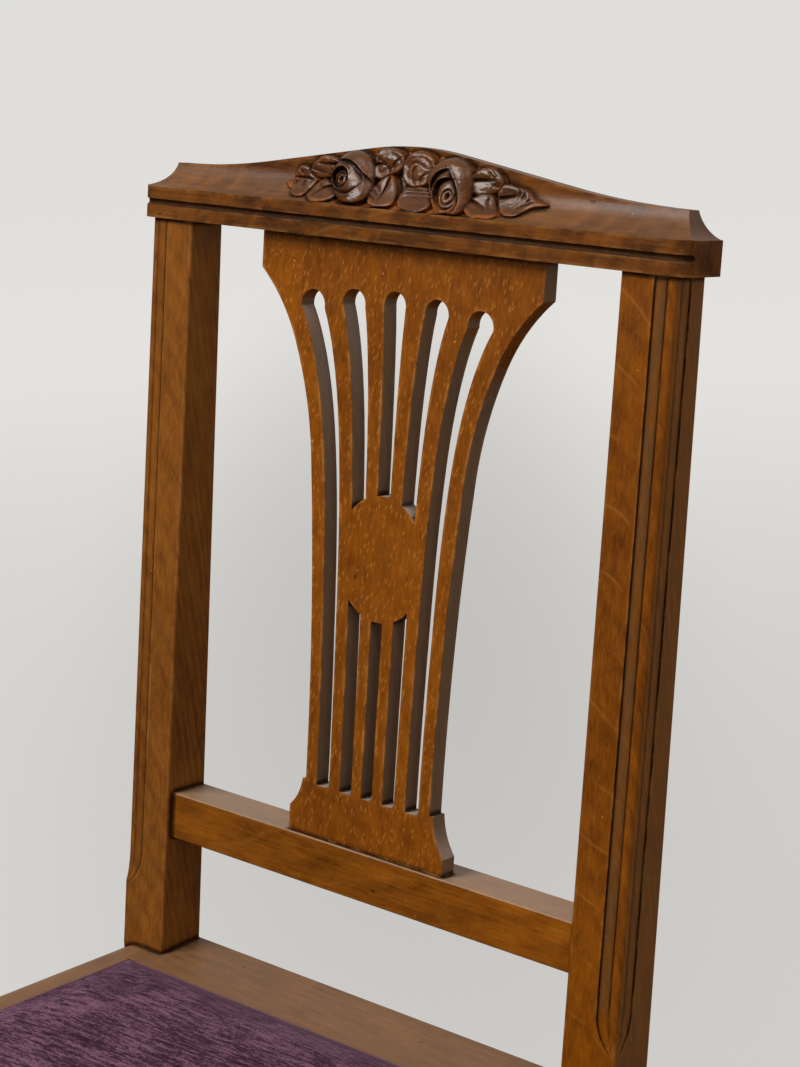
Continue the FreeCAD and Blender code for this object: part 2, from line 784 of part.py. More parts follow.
def rear_seat_rail():
    """The wide rear rail, notched round the rear legs."""
    front = rear_rail_front()
    right = [(inner_x(front), front), (inner_x(0), 0), (inner_half, 0), (inner_half, post_depth_seat)]
    left = [(-x, y) for x, y in reversed(right)]
    solid = prism([Vector(x, y, -rail_height) for x, y in right + left], Vector(0, 0, rail_height))
    solid = eased(solid, lambda edge: runs_along(edge, Vector(1, 0, 0)) and edge.CenterOfMass.y > 0)
    solid = solid.cut(rebate_shape(0, -rebate_depth, overrun))
    tenon = rear_rail_joint()[0]
    return solid.fuse([tenon, mirrored(tenon)]).removeSplitter()


def front_leg():
    """The right front leg: a square head in the seat frame over a long taper."""
    head_plan = [(leg_inner_x, -front_reach), (outer_x(-front_reach), -front_reach),
                 (outer_x(leg_rear_y), leg_rear_y), (leg_inner_x, leg_rear_y)]
    head = frame_piece(head_plan)
    foot_x = outer_x(-front_reach)
    foot_y = front_foot_size - front_reach
    foot_plan = [(foot_x - front_foot_size, -front_reach), (foot_x, -front_reach), (foot_x, foot_y),
                 (foot_x - front_foot_size, foot_y)]
    wires = []
    for plan, z in ((head_plan, -rail_height), (foot_plan, -seat_height)):
        points = [Vector(x, y, z) for x, y in plan]
        wires.append(Part.makePolygon(points + [points[0]]))
    leg = head.fuse(eased(Part.makeLoft(wires, True, True), lambda edge: runs_along(edge, Vector(0, 0, 1))))
    return leg.removeSplitter().cut(side_rail_front_joint()[1]).cut(front_rail_joint()[1])


# Corner blocks and screws

def block_corners():
    """Inner corners of the seat frame on the right, with the ways along the two rails."""
    front_way = Vector(-splay, 1, 0).normalize()
    front = Vector(inner_x(leg_rear_y), leg_rear_y, 0)
    rear_y = rear_rail_front()
    rear = Vector(inner_x(rear_y), rear_y, 0)
    inward = Vector(-1, 0, 0)
    return {"front": (front, front_way, inward), "rear": (rear, front_way * -1, inward)}


def corner_block(name):
    """A glued block across a corner of the seat frame, its tips blunted."""
    corner, along, inward = block_corners()[name]
    tip = block_tip / math.sqrt(2)
    points = [corner, corner + along * block_reach, corner + along * (block_reach - tip) + inward * tip,
              corner + inward * (block_reach - tip) + along * tip, corner + inward * block_reach]
    drop = Vector(0, 0, -block_drop - block_height)
    solid = prism([point + drop for point in points], Vector(0, 0, block_height))
    for screw in screw_pair(name, screw_clearance):
        solid = solid.cut(screw)
    return solid


def faceted_ring(centre, across, radius, count):
    """A polygon in the plane of the vertical and a level direction."""
    points = []
    for index in range(count):
        angle = 2 * math.pi * (index + 0.5) / count
        points.append(centre + (across * math.cos(angle) + Vector(0, 0, math.sin(angle))) * radius)
    return Part.makePolygon(points + [points[0]])


def screw_pair(name, grown):
    """Two countersunk screws through a block's long face, into the frame's corner."""
    corner, along, inward = block_corners()[name]
    tip = block_tip / math.sqrt(2)
    face_start = corner + along * (block_reach - tip) + inward * tip
    face_end = corner + inward * (block_reach - tip) + along * tip
    across = (face_end - face_start).normalize()
    drive = (corner - (face_start + face_end) * 0.5).normalize()
    drive = (drive - across * drive.dot(across)).normalize()
    level = Vector(0, 0, -block_drop - block_height / 2)
    screws = []
    for side in (-1, 1):
        start = (face_start + face_end) * 0.5 + across * (side * screw_spacing / 2) + level
        stations = ((0, screw_head_radius), (screw_head_height, screw_radius), (screw_length + grown, screw_radius))
        rings = [faceted_ring(start + drive * reach, across, radius + grown, screw_facet_count)
                 for reach, radius in stations]
        screws.append(ringed_solid(rings))
    return screws


def all_screws(grown):
    screws = []
    for name in block_corners():
        for screw in screw_pair(name, grown):
            screws += [screw, mirrored(screw)]
    return screws


# Webbing

def lengthwise_centres():
    return [(index - (strap_count - 1) / 2) * lengthwise_pitch for index in range(strap_count)]


def crosswise_centres():
    front = leg_rear_y
    span = rear_rail_front() - front
    pitch = span / strap_count
    return [front + (index + 0.5) * pitch for index in range(strap_count)]


def woven_strap(low, high, crossings, raised_first):
    """Side outline of a strap that rides over every other strap it crosses."""
    half = strap_width / 2
    raised = raised_first
    points = [(low, 0)]
    for index, centre in enumerate(crossings):
        level = strap_thickness if raised else 0
        start = max(centre - half, low)
        end = min(centre + half, high)
        points += [(start, level), (end, level)]
        raised = not raised
    points.append((high, 0))
    lower = [point for index, point in enumerate(points) if index == 0 or point != points[index - 1]]
    upper = [(place, level + strap_thickness) for place, level in reversed(lower)]
    return lower + upper


def webbing_lengthwise():
    """Straps from the front rail to the rear rail."""
    low = rebate_outline(strap_end_gap)[1][1]
    high = rebate_outline(strap_end_gap)[0][1]
    straps = []
    for index, centre in enumerate(lengthwise_centres()):
        outline = woven_strap(low, high, crosswise_centres(), index % 2 == 1)
        points = [Vector(centre - strap_width / 2, y, strap_base + z) for y, z in outline]
        straps.append(prism(points, Vector(strap_width, 0, 0)))
    return straps


def crosswise_reach(centre):
    """Half length of a crosswise strap, clear of the rebate's sloping walls."""
    return outer_x(centre + strap_width / 2) - side_border - strap_end_gap


def webbing_crosswise():
    """Straps from side rail to side rail."""
    straps = []
    for index, centre in enumerate(crosswise_centres()):
        reach = crosswise_reach(centre)
        outline = woven_strap(-reach, reach, lengthwise_centres(), index % 2 == 0)
        points = [Vector(x, centre - strap_width / 2, strap_base + z) for x, z in outline]
        straps.append(prism(points, Vector(0, strap_width, 0)))
    return straps


def tack(place, grown):
    """A cut tack: a flat faceted head and a square tapering shank."""
    head_points = []
    for index in range(tack_facet_count):
        angle = 2 * math.pi * index / tack_facet_count
        head_points.append(place + Vector(math.cos(angle), math.sin(angle), 0) * (tack_head_radius + grown))
    head = prism(head_points, Vector(0, 0, tack_head_thickness + grown))
    rings = []
    for size, depth in ((tack_shank_width, 0), (tack_tip_width, tack_shank_length)):
        half = size / 2 + grown
        centre = place - Vector(0, 0, depth)
        ring = [centre + Vector(x * half, y * half, 0) for x, y in ((1, 1), (-1, 1), (-1, -1), (1, -1))]
        rings.append(Part.makePolygon(ring + [ring[0]]))
    return head.fuse(ringed_solid(rings)).removeSplitter()


def tack_places():
    """Where the tacks hold the straps' ends on the rails."""
    top = strap_base + strap_thickness
    offsets = [(index - (tack_count - 1) / 2) * tack_spacing for index in range(tack_count)]
    places = []
    near = rebate_outline(strap_end_gap + tack_inset)
    for centre in lengthwise_centres():
        for y in (near[0][1], near[1][1]):
            places += [Vector(centre + offset, y, top) for offset in offsets]
    for centre in crosswise_centres():
        reach = crosswise_reach(centre) - tack_inset
        for x in (reach, -reach):
            places += [Vector(x, centre + offset, top) for offset in offsets]
    return places


def all_tacks(grown):
    return [tack(place, grown) for place in tack_places()]


# Stuffed seat

def seat_half_span():
    """Half of the upholstered area's depth or its width at the back, whichever is less."""
    corners = rebate_outline(gimp_width)
    return min((corners[0][1] - corners[1][1]) / 2, corners[0][0])


def cushion_outline(inset, z, draw_in):
    """A ring of the stuffed seat: rounded corners, sides drawn in between them."""
    corners = [Vector(x, y, z) for x, y in rebate_outline(gimp_width + inset)]
    radius = seat_corner_radius
    middle = sum(corners, Vector(0, 0, 0)) * 0.25
    ends = []
    for index, corner in enumerate(corners):
        before = (corners[index - 1] - corner).normalize()
        after = (corners[(index + 1) % len(corners)] - corner).normalize()
        bow = corner + (before + after) * (radius * (1 - math.sqrt(0.5)))
        ends.append((corner + before * radius, bow, corner + after * radius))
    edges = []
    for index, (start, bow, end) in enumerate(ends):
        edges.append(arc(start, bow, end))
        next_start = ends[(index + 1) % len(ends)][0]
        side_middle = (end + next_start) * 0.5
        inward = (middle - side_middle).normalize() * draw_in
        edges.append(arc(end, side_middle + inward, next_start) if draw_in else line(end, next_start))
    return Part.Wire(edges)


def cushion_solid(shrink, base):
    """The crowned seat from a level up, drawn in on all sides by a thickness."""
    rings = []
    for inset_share, height_share, draw_share in crown_ring_shares:
        z = base + height_share * (crown_height - shrink - base)
        inset = shrink + inset_share * seat_half_span()
        rings.append(cushion_outline(inset, z, draw_share * side_draw_in))
    return ringed_solid(rings)


def seat_layer(shrink, thickness, base):
    """A cloth over what lies inside it, with a flat hem out to the rebate."""
    hem = rebate_shape(hessian_edge_gap + shrink, base, base + thickness)
    shell = cushion_solid(shrink, base).fuse(hem)
    return shell.cut(cushion_solid(shrink + thickness, layer_base))


def gimp_braid():
    """The braid round the seat, lying on the cover's hem inside the rebate."""
    outer = rebate_shape(gimp_edge_gap, gimp_base, gimp_base + gimp_thickness)
    edge = cushion_outline(-soft_gap, gimp_base, side_draw_in)
    inner = Part.Face(edge).extrude(Vector(0, 0, gimp_thickness))
    return outer.cut(inner)


def save(name, shape):
    """Writes one named piece, and prints its volume and whether it is sound."""
    shape.exportStep("parts/%s.step" % name)
    print("%-24s %10.1f mm3  solids %d  faces %d  valid %s"
          % (name, shape.Volume, len(shape.Solids), len(shape.Faces), shape.isValid()))


def drilled(shape, cutters):
    """A piece with the holes of those fastenings that reach it."""
    box = shape.BoundBox
    near = [cutter for cutter in cutters if cutter.BoundBox.intersect(box)]
    return shape.cut(near) if near else shape


def main():
    os.makedirs("parts", exist_ok=True)
    screw_holes = all_screws(screw_clearance)
    tack_holes = all_tacks(tack_clearance)
    world_screws = [in_seat_frame(screw) for screw in screw_holes]

    right_leg = drilled(rear_leg(), world_screws)
    save("rear_leg_right", right_leg)
    save("rear_leg_left", mirrored(right_leg))
    save("crest_rail", crest_rail())
    save("back_splat", back_splat())
    save("lower_back_rail", lower_back_rail())

    fastenings = screw_holes + tack_holes
    right_rail = drilled(side_seat_rail(), fastenings)
    save("seat_rail_right", in_seat_frame(right_rail))
    save("seat_rail_left", in_seat_frame(mirrored(right_rail)))
    save("seat_rail_front", in_seat_frame(drilled(front_seat_rail(), fastenings)))
    save("seat_rail_rear", in_seat_frame(drilled(rear_seat_rail(), fastenings)))
    right_front_leg = drilled(front_leg(), fastenings)
    save("front_leg_right", in_seat_frame(right_front_leg))
    save("front_leg_left", in_seat_frame(mirrored(right_front_leg)))

    for name in block_corners():
        piece = corner_block(name)
        save("corner_block_%s_right" % name, in_seat_frame(piece))
        save("corner_block_%s_left" % name, in_seat_frame(mirrored(piece)))
    save("corner_block_screws", in_seat_frame(Part.makeCompound(all_screws(0))))

    for name, straps in (("webbing_lengthwise", webbing_lengthwise()), ("webbing_crosswise", webbing_crosswise())):
        holed = [drilled(strap, tack_holes) for strap in straps]
        save(name, in_seat_frame(Part.makeCompound(holed)))
    save("webbing_tacks", in_seat_frame(Part.makeCompound(all_tacks(0))))
    save("hessian", in_seat_frame(rebate_shape(hessian_edge_gap, hessian_base, layer_base)))

    calico_shrink = cover_thickness + soft_gap
    stuffing_shrink = calico_shrink + calico_thickness + soft_gap
    save("seat_stuffing", in_seat_frame(cushion_solid(stuffing_shrink, layer_base)))
    save("calico_undercover", in_seat_frame(seat_layer(calico_shrink, calico_thickness, layer_base)))
    save("velvet_cover", in_seat_frame(seat_layer(0, cover_thickness, velvet_base)))
    save("gimp_braid", in_seat_frame(gimp_braid()))


main()
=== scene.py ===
import logging
import math
from dataclasses import dataclass, field
from enum import Enum
from typing import Any, Sequence

import bpy
import numpy as np
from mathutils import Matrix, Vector


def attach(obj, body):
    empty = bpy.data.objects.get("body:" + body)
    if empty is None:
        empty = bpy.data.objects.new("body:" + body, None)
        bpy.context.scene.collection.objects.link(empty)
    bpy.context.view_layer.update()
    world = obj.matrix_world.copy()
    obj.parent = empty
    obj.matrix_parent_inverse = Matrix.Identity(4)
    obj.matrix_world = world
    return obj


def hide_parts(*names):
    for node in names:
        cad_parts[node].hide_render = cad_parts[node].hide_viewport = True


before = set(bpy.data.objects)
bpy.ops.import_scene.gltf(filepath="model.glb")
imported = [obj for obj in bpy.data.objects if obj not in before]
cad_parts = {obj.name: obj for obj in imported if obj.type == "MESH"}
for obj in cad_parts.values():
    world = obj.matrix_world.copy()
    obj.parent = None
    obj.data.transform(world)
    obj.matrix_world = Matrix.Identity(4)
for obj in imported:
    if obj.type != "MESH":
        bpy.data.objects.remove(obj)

logging.basicConfig(level=logging.INFO, format="%(message)s")
log = logging.getLogger("chair")

Triple = tuple[float, float, float]
Colour = Triple
Line = tuple[tuple[float, float], ...]
Faces = list[tuple[int, ...]]
Net = np.ndarray
Node = bpy.types.Node
Socket = bpy.types.NodeSocket
Material = bpy.types.Material
Piece = bpy.types.Object

MM = 0.001
RAKE = math.radians(5.3)
SEAT_TOP = 0.440
BACK_PLANE = 0.1444
RIGHT, LEFT = (1.0, 0.0, 0.0), (-1.0, 0.0, 0.0)
BACK, FRONT = (0.0, 1.0, 0.0), (0.0, -1.0, 0.0)
UP, DOWN = (0.0, 0.0, 1.0), (0.0, 0.0, -1.0)


def srgb(red: int, green: int, blue: int) -> Colour:
    """A screen colour of 0 to 255 as a linear one."""
    return tuple(((c / 255 + 0.055) / 1.055) ** 2.4 if c > 10 else c / 255 / 12.92
                 for c in (red, green, blue))


def shade(colour: Colour, share: float) -> Colour:
    """A colour with only a share of its light."""
    return tuple(c * share for c in colour)


def eased(t: Net) -> Net:
    """A share from 0 to 1 with soft ends."""
    return t * t * (3 - 2 * t)


def quads(number: Net) -> Net:
    """The four corners of each cell in a net of vertex numbers."""
    return np.stack([number[:-1, :-1], number[:-1, 1:], number[1:, 1:], number[1:, :-1]], -1)


def feed(tree: bpy.types.NodeTree, socket: Socket, value: Any) -> None:
    """Joins an output to a socket, or sets the socket's value."""
    if isinstance(value, Socket):
        tree.links.new(value, socket)
    else:
        socket.default_value = value


def in_scene(name: str, data: Any) -> Piece:
    """Puts a new object with this data into the scene."""
    made = bpy.data.objects.new(name, data)
    bpy.context.scene.collection.objects.link(made)
    return made


class Grain(Enum):
    """Which way the wood's fibres run, as the turn that lays them on the pattern's Z axis."""

    UPRIGHT = (0.0, 0.0, 0.0)
    RAKED = (RAKE, 0.0, 0.0)
    ACROSS = (0.0, math.pi / 2, 0.0)
    FRONT_TO_BACK = (math.pi / 2, 0.0, 0.0)


class Shading:
    """A material's node tree with short ways to add and join its nodes."""

    def __init__(self, name: str) -> None:
        """Starts an empty material with this name."""
        self.material = bpy.data.materials.new(name)
        self.material.use_nodes = True
        self.tree = self.material.node_tree
        self.tree.nodes.clear()
        self.output = self.tree.nodes.new("ShaderNodeOutputMaterial")
        self.shader = self.tree.nodes.new("ShaderNodeBsdfPrincipled")
        self.tree.links.new(self.shader.outputs[0], self.output.inputs["Surface"])

    def add(self, kind: str, settings: dict[str, Any] | None = None, **sockets: Any) -> Node:
        """Adds a node.

        Args:
            kind: the node's type, without its ShaderNode prefix.
            settings: properties of the node.
            sockets: inputs by name with _ for a space, each a value or another node's output.

        Returns:
            The new node.
        """
        node = self.tree.nodes.new("ShaderNode" + kind)
        for key, value in (settings or {}).items():
            setattr(node, key, value)
        for key, value in sockets.items():
            feed(self.tree, node.inputs[key.replace("_", " ")], value)
        return node

    def fill(self, kind: str, settings: dict[str, Any], values: Sequence[Any]) -> Node:
        """Adds a node and gives its inputs their values in order."""
        node = self.add(kind, settings)
        for socket, value in zip(node.inputs, values):
            feed(self.tree, socket, value)
        return node

    def sum(self, kind: str, *values: Any, clamp: bool = False) -> Socket:
        """Adds a math node.

        Args:
            kind: the operation.
            values: its inputs in order.
            clamp: whether the result is held between 0 and 1.

        Returns:
            The result's socket.
        """
        return self.fill("Math", {"operation": kind, "use_clamp": clamp}, values).outputs[0]

    def plus(self, first: Any, second: Any, clamp: bool = False) -> Socket:
        """Two values added."""
        return self.sum("ADD", first, second, clamp=clamp)

    def times(self, first: Any, second: Any, clamp: bool = False) -> Socket:
        """Two values multiplied."""
        return self.sum("MULTIPLY", first, second, clamp=clamp)

    def times_plus(self, first: Any, second: Any, third: Any, clamp: bool = False) -> Socket:
        """Two values multiplied, and a third added."""
        return self.sum("MULTIPLY_ADD", first, second, third, clamp=clamp)

    def larger(self, first: Any, second: Any) -> Socket:
        """The larger of two values."""
        return self.sum("MAXIMUM", first, second)

    def vector(self, kind: str, *values: Any) -> Node:
        """Adds a vector math node with its inputs in order."""
        return self.fill("VectorMath", {"operation": kind}, values)

    def facing(self, normal: Socket, way: Triple) -> Socket:
        """How squarely a face looks one way: 1 for straight there, -1 for straight away."""
        return self.vector("DOT_PRODUCT", normal, way).outputs["Value"]

    def blend(self, share: Any, first: Any, second: Any) -> Socket:
        """Mixes two colours.

        Args:
            share: how much of the second.
            first: a colour or an output.
            second: a colour or an output.

        Returns:
            The mixed colour's socket.
        """
        node = self.fill("Mix", {"data_type": "RGBA", "clamp_factor": True}, (share,))
        for socket, value in ((node.inputs[6], first), (node.inputs[7], second)):
            feed(self.tree, socket, (*value, 1.0) if isinstance(value, tuple) and len(value) == 3 else value)
        return node.outputs[2]

    def spread(self, value: Any, low: float, high: float, to_low: float = 0.0,
               to_high: float = 1.0) -> Socket:
        """Stretches a value from one range to another with soft ends.

        Args:
            value: the output to stretch.
            low: start of its range.
            high: end of its range.
            to_low: what the start becomes.
            to_high: what the end becomes.

        Returns:
            The stretched value's socket.
        """
        values = (value, low, high, to_low, to_high)
        return self.fill("MapRange", {"interpolation_type": "SMOOTHSTEP"}, values).outputs[0]

    def place(self, turn: Sequence[float] = (0, 0, 0), move: Sequence[float] = (0, 0, 0)) -> Socket:
        """The piece's own coordinates in metres, turned and moved."""
        coords = self.add("TexCoord").outputs["Object"]
        return self.add("Mapping", {"vector_type": "TEXTURE"}, Vector=coords, Rotation=tuple(turn),
                        Location=tuple(move)).outputs[0]

    def scaled(self, vector: Socket, scale: Sequence[float]) -> Socket:
        """A vector times a scale on each axis."""
        return self.vector("MULTIPLY", vector, tuple(scale)).outputs[0]

    def bent(self, p: Socket, scale: float, reach: Sequence[float]) -> Socket:
        """Coordinates that coloured noise of a scale pushes about, by a reach on each axis."""
        push = self.add("TexNoise", Vector=p, Scale=scale).outputs[1]
        return self.vector("ADD", p, self.scaled(push, reach)).outputs[0]

    def noise(self, vector: Socket, scale: float, detail: float = 2.0, rough: float = 0.5) -> Socket:
        """A noise value from 0 to 1."""
        return self.add("TexNoise", {"noise_dimensions": "3D"}, Vector=vector, Scale=scale, Detail=detail,
                        Roughness=rough).outputs[0]

    def closed_in(self, distance: float, samples: int, inner: bool = False) -> Socket:
        """How open a place is: 1 in the open, less where surfaces crowd it.

        Args:
            distance: metres that count as near.
            samples: rays for each place.
            inner: looks into the piece itself, which finds its thin arrises.

        Returns:
            The openness's socket.
        """
        settings = {"samples": samples, "inside": inner, "only_local": inner}
        return self.add("AmbientOcclusion", settings, Distance=distance).outputs["AO"]

    def bump(self, height: Socket, distance: float, strength: float = 1.0,
             under: Socket | None = None) -> Socket:
        """A bump normal.

        Args:
            height: the height's socket.
            distance: metres that a height of 1 stands up.
            strength: how much of it shows.
            under: a normal that lies under this one.

        Returns:
            The normal's socket.
        """
        node = self.add("Bump", Height=height, Distance=distance, Strength=strength)
        if under is not None:
            feed(self.tree, node.inputs["Normal"], under)
        return node.outputs[0]

    def set(self, **sockets: Any) -> None:
        """Sets or joins the shader's own sockets, with _ for a space."""
        for key, value in sockets.items():
            feed(self.tree, self.shader.inputs[key.replace("_", " ")], value)


def on_back(u: Net, v: Net, w: Net) -> Net:
    """Turns places on the raked back into the chair's own coordinates.

    Args:
        u: millimetres to the right of the middle.
        v: millimetres up the rake from the seat.
        w: millimetres behind the posts' front faces.

    Returns:
        One row of metres for each place.
    """
    y = v * math.sin(RAKE) + w * math.cos(RAKE)
    z = v * math.cos(RAKE) - w * math.sin(RAKE)
    return np.stack([u * MM, y * MM + BACK_PLANE, z * MM + SEAT_TOP], axis=-1)


def new_object(name: str, places: Any, faces: Any, material: Material, smooth: bool = True) -> Piece:
    """Makes a mesh object that sits at the origin.

    Args:
        name: the object's name.
        places: its vertices in metres.
        faces: its faces as rows of vertex numbers.
        material: its finish.
        smooth: whether its faces are shaded smooth.

    Returns:
        The object.
    """
    mesh = bpy.data.meshes.new(name)
    mesh.from_pydata([tuple(map(float, p)) for p in places], [], [tuple(map(int, f)) for f in faces])
    mesh.validate()
    if smooth:
        mesh.shade_smooth()
    mesh.materials.append(material)
    return in_scene(name, mesh)


def settled(made: Piece) -> Piece:
    """Turns an object's modifiers into plain mesh and takes them off."""
    bpy.context.view_layer.update()
    graph = bpy.context.evaluated_depsgraph_get()
    shape = made.evaluated_get(graph)
    mesh = bpy.data.meshes.new_from_object(shape, preserve_all_data_layers=True, depsgraph=graph)
    made.modifiers.clear()
    mesh.name = made.name
    made.data = mesh
    return made


class Recipe:
    """A Geometry Nodes tree with named inputs, built in code."""

    def __init__(self, name: str) -> None:
        """Starts a tree with this name that takes and gives a geometry."""
        self.tree = bpy.data.node_groups.new(name, "GeometryNodeTree")
        for way in ("INPUT", "OUTPUT"):
            self.tree.interface.new_socket("Geometry", in_out=way, socket_type="NodeSocketGeometry")
        self.start = self.tree.nodes.new("NodeGroupInput")
        self.end = self.tree.nodes.new("NodeGroupOutput")
        self.keys: dict[str, str] = {}

    def size(self, name: str, kind: str = "Float") -> Socket:
        """Adds a named input and gives its socket."""
        item = self.tree.interface.new_socket(name, in_out="INPUT", socket_type="NodeSocket" + kind)
        self.keys[name] = item.identifier
        return self.start.outputs[name]

    def add(self, kind: str, settings: dict[str, Any] | None = None, **sockets: Any) -> Node:
        """Adds a node.

        Args:
            kind: the node's full type.
            settings: its properties.
            sockets: its inputs by name with _ for a space.

        Returns:
            The new node.
        """
        node = self.tree.nodes.new(kind)
        for key, value in (settings or {}).items():
            setattr(node, key, value)
        for key, value in sockets.items():
            socket = next(s for s in node.inputs if s.name == key.replace("_", " ") and s.enabled)
            feed(self.tree, socket, value)
        return node

    def times(self, first: Any, second: Any) -> Socket:
        """Two values multiplied."""
        node = self.add("ShaderNodeMath", {"operation": "MULTIPLY"})
        for socket, value in zip(node.inputs, (first, second)):
            feed(self.tree, socket, value)
        return node.outputs[0]

    def tube(self, curve: Socket, profile: Node) -> Socket:
        """Draws a profile along a curve."""
        return self.add("GeometryNodeCurveToMesh", Curve=curve, Profile_Curve=profile.outputs[0],
                        Fill_Caps=True).outputs[0]

    def finish(self, *parts: Socket) -> None:
        """Joins the parts, makes instances real and sets the material."""
        joined = self.add("GeometryNodeJoinGeometry")
        for part in parts:
            self.tree.links.new(part, joined.inputs[0])
        real = self.add("GeometryNodeRealizeInstances", Geometry=joined.outputs[0])
        paint = self.add("GeometryNodeSetMaterial", Geometry=real.outputs[0],
                         Material=self.size("Material", "Material"))
        self.tree.links.new(paint.outputs[0], self.end.inputs[0])

    def grow(self, made: Piece, **values: Any) -> Piece:
        """Runs the tree on an object and keeps the result as its mesh.

        Args:
            made: the object that the tree starts from.
            values: the named inputs, with _ for a space.

        Returns:
            The same object with its new mesh.
        """
        modifier = made.modifiers.new("recipe", "NODES")
        modifier.node_group = self.tree
        for key, value in values.items():
            modifier[self.keys[key.replace("_", " ")]] = value
        return settled(made)


@dataclass(frozen=True)
class Pattern:
    """Noise in wood: how far it is drawn out along the fibres, its scale, detail and roughness."""

    along: float
    scale: float
    detail: float
    rough: float = 0.5

    def on(self, s: Shading, p: Socket) -> Socket:
        """The noise's value from 0 to 1."""
        return s.noise(s.scaled(p, (1, 1, self.along)), self.scale, self.detail, self.rough)


STREAKS = Pattern(0.05, 620.0, 4.0, 0.6)
PORES = Pattern(0.09, 1700.0, 1.0)
CLOUDS = Pattern(0.45, 95.0, 5.0, 0.66)
BLOTCHES = Pattern(0.5, 16.0, 2.0)
UNEVEN_YEARS = Pattern(0.15, 22.0, 1.0)
BALD_PATCHES = Pattern(0.12, 260.0, 3.0, 0.6)
VALLEY_SHADE_NOISE = Pattern(0.1, 120.0, 2.0)


@dataclass(frozen=True)
class Mark:
    """Small marks strewn over wood, each in a cell of its own.

    A mark leans by an angle in the board's face. The squeeze draws it out along the fibres. The rarity is
    the share of cells that stay empty, and the reach says where a mark starts and where it is full.
    """

    lean: float
    squeeze: float
    scale: float
    rarity: float
    reach: tuple[float, float]

    def on(self, s: Shading, p: Socket) -> Socket:
        """The marks' mask: 1 in a mark, 0 between the marks."""
        leaning = s.add("Mapping", {"vector_type": "TEXTURE"}, Vector=p, Rotation=(0.0, self.lean, 0.0))
        squeezed = s.scaled(leaning.outputs[0], (1, 1, self.squeeze))
        cells = s.add("TexVoronoi", {"feature": "F1"}, Vector=squeezed, Scale=self.scale,
                      Randomness=1.0).outputs
        lot = s.add("SeparateColor", Color=cells["Color"]).outputs[0]
        chosen = s.spread(lot, self.rarity, self.rarity + 0.04)
        return s.times(s.spread(cells["Distance"], *self.reach), chosen)


LEANING_FLECKS = Mark(0.42, 0.13, 700.0, 0.58, (0.34, 0.16))
STEEP_FLECKS = Mark(0.14, 0.16, 620.0, 0.62, (0.32, 0.14))
NICKS = Mark(0.0, 0.45, 72.0, 0.80, (0.085, 0.035))
PALE_SPECKS = Mark(0.0, 0.8, 150.0, 0.84, (0.10, 0.05))


